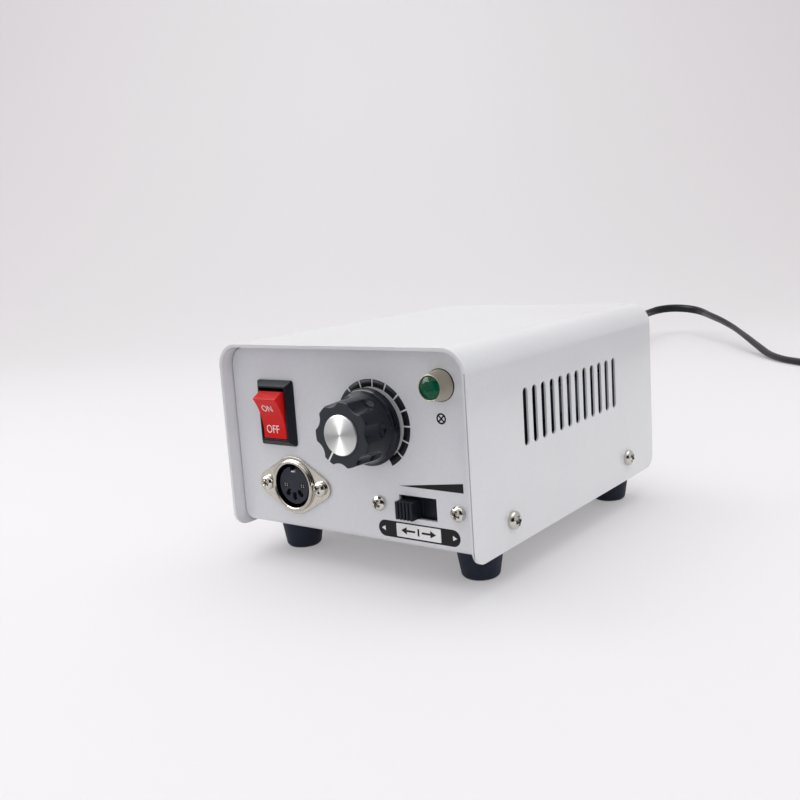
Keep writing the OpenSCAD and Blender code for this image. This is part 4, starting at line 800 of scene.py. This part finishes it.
ROCKER = (-27.1, 49.1)
ROCKER_TILT = math.radians(16)
ROCKER_HALF_W = 4.85
ROCKER_TIP = 6.9
ROCKER_MIDDLE = 3.6
ROCKER_HOLLOW = 1.3
LETTER_SIZE = 3.3
LETTERS_LEFT = 0.6

rocker_place = on_panel(*ROCKER) @ Matrix.Translation((0, 0, -0.5)) @ Matrix.Rotation(ROCKER_TILT, 4, "X")


def rocker_height(y):
    """The height of the rocker's hollow face at a distance above its middle."""
    return ROCKER_MIDDLE + ROCKER_HOLLOW * (y / ROCKER_TIP) ** 2


def make_rocker():
    """A rocker whose face is one hollow sweep from tip to tip, tilted so that its upper end stands out."""
    heights = [ROCKER_TIP * (1 - k / 8) for k in range(17)]
    outline = [(y, rocker_height(y)) for y in heights] + [(-7.9, 1), (-5.2, -3.6), (5.2, -3.6), (7.9, 1)]
    mesh = tube([[(x, y, z) for y, z in outline] for x in (-ROCKER_HALF_W, ROCKER_HALF_W)])
    show("rocker_moulding", mesh, rocker_place, red_moulding, "rocker", ["power_rocker"],
         (0.3, 40, 3))


def rocker_letters(name, text, middle, stretch):
    """White letters a hair thick that follow the rocker's face, a little left of its middle."""
    curve = bpy.data.curves.new(name, "FONT")
    put(curve, body=text, size=LETTER_SIZE, align_x="CENTER", align_y="CENTER", offset=-0.02, extrude=0.05,
        resolution_u=4)
    made = link(name, curve)
    mesh = shown_mesh(made)
    bpy.data.objects.remove(made)
    for corner in mesh.vertices:
        y = middle + stretch[1] * corner.co.y
        corner.co = (stretch[0] * corner.co.x - LETTERS_LEFT, y, rocker_height(y) + corner.co.z)
    show(name, mesh, rocker_place, white_print, "rocker")


softened("power_switch_body", "switch_bezel", black_nylon, 0.25)
make_rocker()
rocker_letters("rocker_on", "ON", 3.1, (0.89, 1.0))
rocker_letters("rocker_off", "OFF", -4.1, (0.98, 1.12))


# Speed knob

LOBES = 7
LOBE_R = 9.7
FLUTE_R = 4.4
FLUTE_DEPTH = 1.2
FLUTE_LEAN = math.radians(4)
FLUTE_FOOT = 5.0
FLUTE_SOFT = 0.16
EDGE_R = 0.45
DISC_SEAT_R = 5.95
DISC_SEAT = 14.4
POINTER_TURN = math.radians(146)
POINTER_HALF_W = 0.28
POINTER_T = 0.12

SKIRT = [(7.0, 6.2), (7.0, 2.0), (11.6, 2.0), (11.6, 2.9), (11.25, 2.9), (11.25, 3.3), (11.0, 3.5)]
FLANK = [(10.75, 3.7), (10.35, 4.9), (10.05, 6.7), (9.85, 9.4), (9.7, 13.7), (9.68, KNOB_FACE)]

knob_place = on_panel(*KNOB) @ Matrix.Rotation(POINTER_TURN, 4, "Z")


def flank_radius(z):
    """The knob's radius between its lobes' crests, as a smooth line through the flank's points."""
    p = FLANK
    i = max(k for k in range(len(p) - 1) if z >= p[k][1] - 1e-6)
    share = (z - p[i][1]) / (p[i + 1][1] - p[i][1])
    ends = [p[max(i - 1, 0)], p[i], p[i + 1], p[min(i + 2, len(p) - 1)]]
    return smooth_point(*[r for r, height in ends], share)


def fluted(z, angle):
    """The flank's radius with the flutes cut by a leaning, round-ended cutter, their edges softened."""
    whole = flank_radius(z)
    edge = max(0.0, z - (KNOB_FACE - EDGE_R))
    inset = EDGE_R - math.sqrt(EDGE_R ** 2 - edge ** 2)
    pitch = 2 * math.pi / LOBES
    off = (angle + pitch) % pitch - pitch / 2
    foot = FLUTE_FOOT + FLUTE_R
    below = max(0.0, foot - z)
    if below >= FLUTE_R:
        return whole - inset
    reach = math.sqrt(FLUTE_R ** 2 - below ** 2)
    centre = LOBE_R - FLUTE_DEPTH + FLUTE_R + (KNOB_FACE - max(z, foot)) * math.tan(FLUTE_LEAN)
    if centre * abs(math.sin(off)) >= reach:
        return whole - inset
    cut = centre * math.cos(off) - math.sqrt(reach ** 2 - (centre * math.sin(off)) ** 2)
    near = max(0.0, FLUTE_SOFT - abs(whole - cut)) / FLUTE_SOFT
    return min(whole, cut) - near * near * FLUTE_SOFT / 4 - inset


def make_knob():
    """A skirted knob whose seven flutes run out in crescents on its flank."""
    steps = LOBES * 40
    heights = [FLANK[0][1] + 0.2 * k for k in range(53)]
    heights += [KNOB_FACE - EDGE_R + EDGE_R * math.sin(math.pi / 2 * k / 8) for k in range(9)]
    rows = [[(r, z)] * steps for r, z in fine_section(rounded(SKIRT, 0.13), 0.6)]
    rows += [[(fluted(z, 2 * math.pi * k / steps), z) for k in range(steps)] for z in heights]
    rows += [[(DISC_SEAT_R + (r - DISC_SEAT_R) * share, z) for r, z in rows[-1]]
             for share in (0.66, 0.33, 0)]
    rows += [[(DISC_SEAT_R, DISC_SEAT)] * steps]
    rings = [[(-r * math.sin(2 * math.pi * k / steps), r * math.cos(2 * math.pi * k / steps), z)
              for k, (r, z) in enumerate(row)] for row in rows]
    mesh = tube(rings)
    smooth(mesh, 40)
    show("knob_moulding", mesh, knob_place, black_moulding, "knob", ["speed_knob"])


def make_pointer():
    """A white line let into the knob's face, which turns over its front edge."""
    path = [(DISC_SEAT_R, 14.62), (7.5, 14.62), (9.22, 14.62), (9.42, 14.58), (9.58, 14.45), (9.68, 14.25),
            (9.73, 14.0)]
    rings = []
    for i, (r, z) in enumerate(path):
        along = Vector(path[min(i + 1, len(path) - 1)]) - Vector(path[max(i - 1, 0)])
        out = Vector((along.y, -along.x)).normalized() * POINTER_T
        low = [(x, r, z) for x in (-POINTER_HALF_W, POINTER_HALF_W)]
        high = [(x, r + out.x, z + out.y) for x in (POINTER_HALF_W, -POINTER_HALF_W)]
        rings.append(low + high)
    show("knob_pointer", tube(rings), knob_place, white_print, "knob")


def make_disc():
    """The knob's disc, with its polar coordinates kept for its material."""
    profile = rounded([
        (AXIS_R, DISC_SEAT), (5.9, DISC_SEAT), (5.9, 15.05), (5.75, 15.2), (AXIS_R, 15.2),
    ], 0.1)
    mesh = lathe(fine_section(profile, 0.4))
    layer = mesh.uv_layers.new(name="polar")
    for face in mesh.polygons:
        corners = [mesh.vertices[mesh.loops[loop].vertex_index].co for loop in face.loop_indices]
        angles = [math.atan2(p.y, p.x) / (2 * math.pi) for p in corners]
        for loop, p, angle in zip(face.loop_indices, corners, angles):
            wrapped = angle + 1 if max(angles) - angle > 0.5 else angle
            layer.data[loop].uv = (math.hypot(p.x, p.y), wrapped)
    smooth(mesh, 40)
    show("knob_disc_face", mesh, knob_place, turned_face, "knob", ["knob_disc"])


make_knob()
make_pointer()
make_disc()


# Pilot lamp

LAMP = (35.7, 60.3)
LENS_FACETS = 10
LENS_LEVELS = [(3.36, 4.2), (3.36, 5.15), (2.9, 5.55), (2.0, 6.05), (0.95, 6.3)]
LENS_TOP = 6.36


def make_lamp():
    profile = rounded([
        (3.4, 4.2), (3.4, 5.2), (3.48, 5.3), (3.7, 5.3), (4.2, 0.8), (4.5, 0.5), (4.5, 0), (3.95, 0),
        (3.95, -11), (3.15, -11), (3.15, 4.2),
    ], 0.08)
    mesh = lathe(profile, capped=False)
    smooth(mesh, 40)
    show("lamp_body_turned", mesh, on_panel(*LAMP), dull_nickel, "case", ["lamp_body"])


def make_lens():
    """A jewel lens: rings of flat facets, each ring set half a facet round from the one below."""
    shape = bmesh.new()
    rings = []
    for level, (r, z) in enumerate(LENS_LEVELS):
        points = circle(r, LENS_FACETS, math.pi / LENS_FACETS * max(0, level - 1))
        rings.append([shape.verts.new((x, y, z)) for x, y in points])
    top = shape.verts.new((0, 0, LENS_TOP))
    shape.faces.new(rings[0])
    for k in range(LENS_FACETS):
        n = (k + 1) % LENS_FACETS
        shape.faces.new((rings[0][k], rings[0][n], rings[1][n], rings[1][k]))
        shape.faces.new((rings[-1][k], rings[-1][n], top))
        for low, high in zip(rings[1:], rings[2:]):
            shape.faces.new((low[k], low[n], high[k]))
            shape.faces.new((low[n], high[n], high[k]))
    mesh = closed_mesh(shape)
    show("lamp_lens_jewel", mesh, on_panel(*LAMP), green_acrylic, "case", ["lamp_lens"])


make_lamp()
make_lens()
# A thin black ring behind the lamp's flange, which draws a dark line round its edge on the panel
dark_ring = lathe([(3.96, 0.0), (4.68, 0.0), (4.68, 0.2), (3.96, 0.2)])
show("lamp_washer", dark_ring, on_panel(*LAMP), black_pvc)


# Handpiece socket and direction switch

SOCKET = (-22.2, 26.0)
SOCKET_FACE = 0.8
CONTACT_CIRCLE_R = 3.5
CONTACT_TURNS = (180, 225, 270, 315, 360)
OUTER_TURNS = (180, 360)
BARREL_R = 1.08
TAIL_R = 0.55
TAIL_END = -17
BARREL_END = -12
LEAF_FOOT = -1.35
LEAF_R = (0.46, 0.7)
LEAF_SWEEP = 62
OUTER_TIP = 0.72
INNER_TIP = -0.4


def on_contact_circle(turn):
    """Placing on the circle of the contacts, at a turn in degrees."""
    return Matrix.Rotation(math.radians(turn), 4, "Z") @ Matrix.Translation((CONTACT_CIRCLE_R, 0, 0))


def make_contacts():
    """Five contacts: a turned body behind the insert's face and two spring leaves that stand up in each
    hole. The outer two stand level with the face."""
    shape = bmesh.new()
    for turn in CONTACT_TURNS:
        before = len(shape.verts)
        add_prism(shape, circle(BARREL_R, 24), BARREL_END, LEAF_FOOT)
        add_prism(shape, circle(TAIL_R, 24), TAIL_END, BARREL_END)
        tip = OUTER_TIP if turn in OUTER_TURNS else INNER_TIP
        for way in (0, 180):
            leaf = arc_band(*LEAF_R, way - LEAF_SWEEP, way + LEAF_SWEEP, 10)
            add_prism(shape, leaf, LEAF_FOOT, tip)
        shape.verts.ensure_lookup_table()
        bmesh.ops.transform(shape, matrix=on_contact_circle(turn), verts=shape.verts[before:])
    show("socket_contacts", closed_mesh(shape), on_panel(*SOCKET), contact_silver, "case",
         ["din_contacts"], (0.06, 40))


def make_socket_key():
    """The pale rib that closes the insert's notch at its inner end."""
    outline = [(-0.8, 4.25), (0.8, 4.25), (0.8, 4.72), (-0.8, 4.72)]
    mesh = prisms([outline], -1.6, SOCKET_FACE + 0.05)
    show("socket_key", mesh, on_panel(*SOCKET), natural_nylon, edges=(0.08, 40))


def make_socket_hole_shade():
    """Painted shade: flat black wedges on the insert's face that make the holes of the outer contacts look
    wider, towards the middle and away from it.
    """
    wedges = []
    for turn in OUTER_TURNS:
        for start, end in ((0.72, 1.5), (-0.72, -1.5)):
            corners = ((start, -0.62), (end, -0.12), (end, 0.12), (start, 0.62))
            wedges.append([(on_contact_circle(turn) @ Vector((x, y, 0))).xy for x, y in corners])
    flat_piece("socket_slots", wedges, black_print_and_shade, on_panel(*SOCKET), SOCKET_FACE)


softened("din_shell", "socket_shell", nickel_plate, 0.12)
softened("din_insert", "socket_insert", slate_moulding, 0.1)
softened("slide_button", "slide_thumb", black_nylon, 0.18)
make_contacts()
make_socket_key()
make_socket_hole_shade()


# Strain relief

RELIEF_L = 32
RIBS = 7
RIB_FIRST = 3.8
RIB_PITCH = 3.6
RIB_SECTION = ((-0.9, 0.95), (0.0, 0.9), (0.25, 0.15), (0.7, 0.0), (1.7, 0.0), (2.15, 0.15), (2.4, 0.9))


def make_relief():
    """A moulded sleeve round the lead: a flange, then ribs that get smaller along a taper."""
    profile = [(AXIS_R, -4.9), (4.2, -4.9), (6.0, -1.3), (5.15, -1.1), (5.2, 0), (7.5, 0), (7.5, 1.9),
               (6.8, 2.6)]
    for i in range(RIBS):
        for dz, inset in RIB_SECTION:
            z = RIB_FIRST + RIB_PITCH * i + dz
            profile.append((5.2 - z / RELIEF_L - inset, z))
    profile += [(3.9, 28.6), (4.25, 29.0), (4.2, 31.2), (3.8, RELIEF_L), (AXIS_R, RELIEF_L)]
    mesh = lathe(profile, 48)
    smooth(mesh, 50)
    facing_back = facing_front(-33, BACK_Y, 45) @ Matrix.Rotation(math.pi, 4, "X")
    show("strain_relief_moulding", mesh, facing_back, black_pvc, "case", ["strain_relief"])


make_relief()


# Finishes of the CAD nodes that stay

KEPT_NODES = [
    (bright_zinc, "foot_screws foot_nuts din_nuts pot_nut lamp_nut transformer_screws transformer_nuts"),
    (bright_zinc, "board_screws board_nuts"),
    (tinned_brass, "power_switch_terminals pot_terminals lamp_terminals slide_terminals fuse_terminals"),
    (pressed_zinc, "pot_body slide_frame transformer_strap"),
    (drawn_aluminium, "pot_shaft heat_sink"),
    (natural_nylon, "lamp_base board_spacers board_headers"),
    (black_nylon, "transformer_bobbin bridge_rectifier power_transistor control_chip"),
    (black_nylon, "fuse_holder fuse_cap fuse_nut"),
    (brown_laminate, "slide_base"),
    (core_steel, "transformer_core"),
    (winding_tape, "transformer_winding"),
    (solder_mask, "circuit_board"),
    (shrink_sleeve, "capacitors"),
    (blue_lacquer, "resistors"),
    (fuse_glass, "glass_fuse"),
    (plated_pin, "plug_pins"),
]
for material, nodes in KEPT_NODES:
    for node in nodes.split():
        mesh = frame["nodes"][node].data
        mesh.materials.clear()
        mesh.materials.append(material)


# Floor, backdrop and light, in metres

PAPER_RIGHT = 0.2
PAPER_NEAR = 0.1
PAPER_SLANT = 0.44
PAPER_MARGIN = 0.06
PAPER_SHARE = 0.3
PAPER_TOP = 3.0
BEND_START = 0.95
BEND_R = 0.45
VIEW_TURN = math.atan2(view_ahead.x, view_ahead.y)
CARD_PLACE = Vector((0.62, -0.70, 0.25))
CARD_AIM = Vector((0, -0.05, 0.04))
CARD_SIZE = (1.2, 0.8)
WORLD_STRENGTH = 0.68


def show_front_only(tree, front):
    """Leaves a sheet of the stage out when it is seen from behind, so that it never hides the object."""
    side = add(tree, "ShaderNodeNewGeometry")
    clear = add(tree, "ShaderNodeBsdfTransparent")
    chosen = add(tree, "ShaderNodeMixShader", {
        "Fac": side.outputs["Backfacing"], 1: front, 2: clear.outputs[0],
    })
    out = next(n for n in tree.nodes if n.type == "OUTPUT_MATERIAL")
    tree.links.new(chosen.outputs[0], out.inputs["Surface"])


def white_paper():
    """Seamless white paper with painted shade, a little greyer up its back and towards its sides. A share of
    it is drawn at its own white to the camera and to mirrors, as a well lit sheet; the rest takes the light
    and shadow."""
    material, tree, shader = surface("white_paper", "#EAE8E9", 0.8)
    turned = add(tree, "ShaderNodeMapping", {"Vector": place_on(tree), "Rotation": (0, 0, VIEW_TURN)})
    axes = add(tree, "ShaderNodeSeparateXYZ", {0: turned.outputs[0]})
    aside = maths(tree, "ABSOLUTE", axes.outputs["X"])
    far, high, side = (
        add(tree, "ShaderNodeMapRange", {"Value": value, "From Min": start, "From Max": end}).outputs[0]
        for value, start, end in (
            (axes.outputs["Y"], 0.05, 1.0), (axes.outputs["Z"], 0.05, 0.5), (aside, 0.1, 0.9),
        )
    )
    edges = maths(tree, "MULTIPLY", side, far)
    tone = linear("#EAE8E9")
    # Painted shade: the white paper greys further back and at its far sides
    for share, colour in ((far, "#D9D7D8"), (high, "#EBE8E9"), (edges, "#D8D1D3")):
        tone = mixed(tree, share, tone, linear(colour))
    tree.links.new(tone, shader.inputs["Base Color"])
    white = add(tree, "ShaderNodeEmission", {"Color": tone, "Strength": 1.0})
    ray = add(tree, "ShaderNodeLightPath")
    seen = ray.outputs["Is Camera Ray"]
    for kind in ("Is Glossy Ray", "Is Transmission Ray"):
        seen = maths(tree, "MAXIMUM", seen, ray.outputs[kind])
    both = add(tree, "ShaderNodeMixShader", {
        "Fac": maths(tree, "MULTIPLY", seen, PAPER_SHARE), 1: shader.outputs["BSDF"], 2: white.outputs[0],
    })
    show_front_only(tree, both.outputs[0])
    return material


def stage_finish(name, low, high, roughness, size_mm, camera_colour=None):
    """A finish for a sheet of the stage, which the camera alone may see in another colour."""
    material, tree, shader, bump = grained(name, low, high, roughness, size_mm, 0.0)
    if camera_colour:
        ray = add(tree, "ShaderNodeLightPath")
        own = shader.inputs["Base Color"].links[0].from_socket
        seen = mixed(tree, ray.outputs["Is Camera Ray"], own, linear(camera_colour))
        tree.links.new(seen, shader.inputs["Base Color"])
    show_front_only(tree, shader.outputs["BSDF"])
    return material


def flat_sheet(name, xs, ys, z, material):
    mesh = bpy.data.meshes.new(name)
    corners = [(xs[0], ys[0], z), (xs[1], ys[0], z), (xs[1], ys[1], z), (xs[0], ys[1], z)]
    mesh.from_pydata(corners, [], [(0, 1, 2, 3)])
    return link(name, mesh, material)


def make_sweep():
    """A sheet of paper: a level floor that curves up into a wall behind the object, square to the view. It
    leaves the table bare near the camera and at the right."""
    ahead = Vector((view_ahead.x, view_ahead.y, 0)).normalized()
    side = Vector((ahead.y, -ahead.x, 0))
    origin = Vector((CAMERA_PLACE.x, CAMERA_PLACE.y, 0))
    rows = [(PAPER_NEAR, 0.0), (BEND_START, 0.0)]
    for k in range(1, 17):
        angle = math.pi / 2 * k / 16
        rows.append((BEND_START + BEND_R * math.sin(angle), BEND_R * (1 - math.cos(angle))))
    rows.append((BEND_START + BEND_R, PAPER_TOP))
    points = []
    for a, z in rows:
        middle = origin + ahead * a + Vector((0, 0, z))
        ends = (-PAPER_SLANT * a - PAPER_MARGIN, (PAPER_RIGHT - middle.x) / side.x)
        points += [middle + side * s for s in ends]
    mesh = bpy.data.meshes.new("sweep")
    mesh.from_pydata(points, [], [(i, i + 1, i + 3, i + 2) for i in range(0, len(points) - 2, 2)])
    mesh.shade_smooth()
    link("sweep", mesh, white_paper())


def make_dark_card():
    """A dark cloth behind the camera that only mirrors see: it gives metal and gloss their dark side."""
    # Brown felt: dark and dull
    felt = finish("brown_felt", "#24201D", "#2C2825", (0.85, 0.95), 3, 0.0, specular_ior_level=0.1)
    half_w, half_h = CARD_SIZE[0] / 2, CARD_SIZE[1] / 2
    card = flat_sheet("dark_card", (-half_w, half_w), (-half_h, half_h), 0, felt)
    facing = (CARD_AIM - CARD_PLACE).to_track_quat("Z", "Y").to_matrix().to_4x4()
    card.data.transform(Matrix.Translation(CARD_PLACE) @ facing)
    put(card, visible_camera=False, visible_diffuse=False, visible_shadow=False)


def make_light(name, place, target, size, power, diffuse=True, glossy=True):
    """A round soft lamp. It may light matt surfaces alone, or show in mirrors alone."""
    data = bpy.data.lights.new(name, "AREA")
    put(data, shape="DISK", size=size, energy=power)
    put(link(name, data), visible_diffuse=diffuse, visible_glossy=glossy, location=place,
        rotation_mode="QUATERNION",
        rotation_quaternion=(Vector(target) - Vector(place)).to_track_quat("-Z", "Y"))


def make_world():
    world = bpy.data.worlds.new("studio")
    bpy.context.scene.world = world
    world.use_nodes = True
    world.node_tree.nodes["Background"].inputs["Color"].default_value = linear("#F4F5F8")
    world.node_tree.nodes["Background"].inputs["Strength"].default_value = WORLD_STRENGTH


# Table top: laminate that mirrors see grey and the camera as pale as the floor
laminate = stage_finish("grey_laminate", "#58585B", "#636366", (0.4, 0.5), 20, "#CCCCCE")
# Painted studio floor: pale and matt
floor_paint = stage_finish("pale_floor_paint", "#D6D6D8", "#DEDEE0", (0.7, 0.8), 40)

make_sweep()
flat_sheet("table", (-0.75, 0.6), (-0.6, 1.0), -0.004, laminate)
flat_sheet("studio_floor", (-6, 6), (-6, 6), -0.03, floor_paint)
make_dark_card()
make_world()
make_light("ceiling", (0.0, 0.1, 1.6), (0, 0.1, 0), 2.2, 14.2)
make_light("overhead", (-0.72, 0.0, 1.0), (0, 0, 0), 0.5, 1.75)
make_light("window", (1.4, -0.6, 0.9), (0, 0, 0), 1.6, 3.5, glossy=False)
make_light("left_box", (-0.70, -0.43, 0.81), (0.01, -0.07, 0.05), 1.1, 19.0, diffuse=False)
bpy.context.scene.view_settings.view_transform = "Standard"
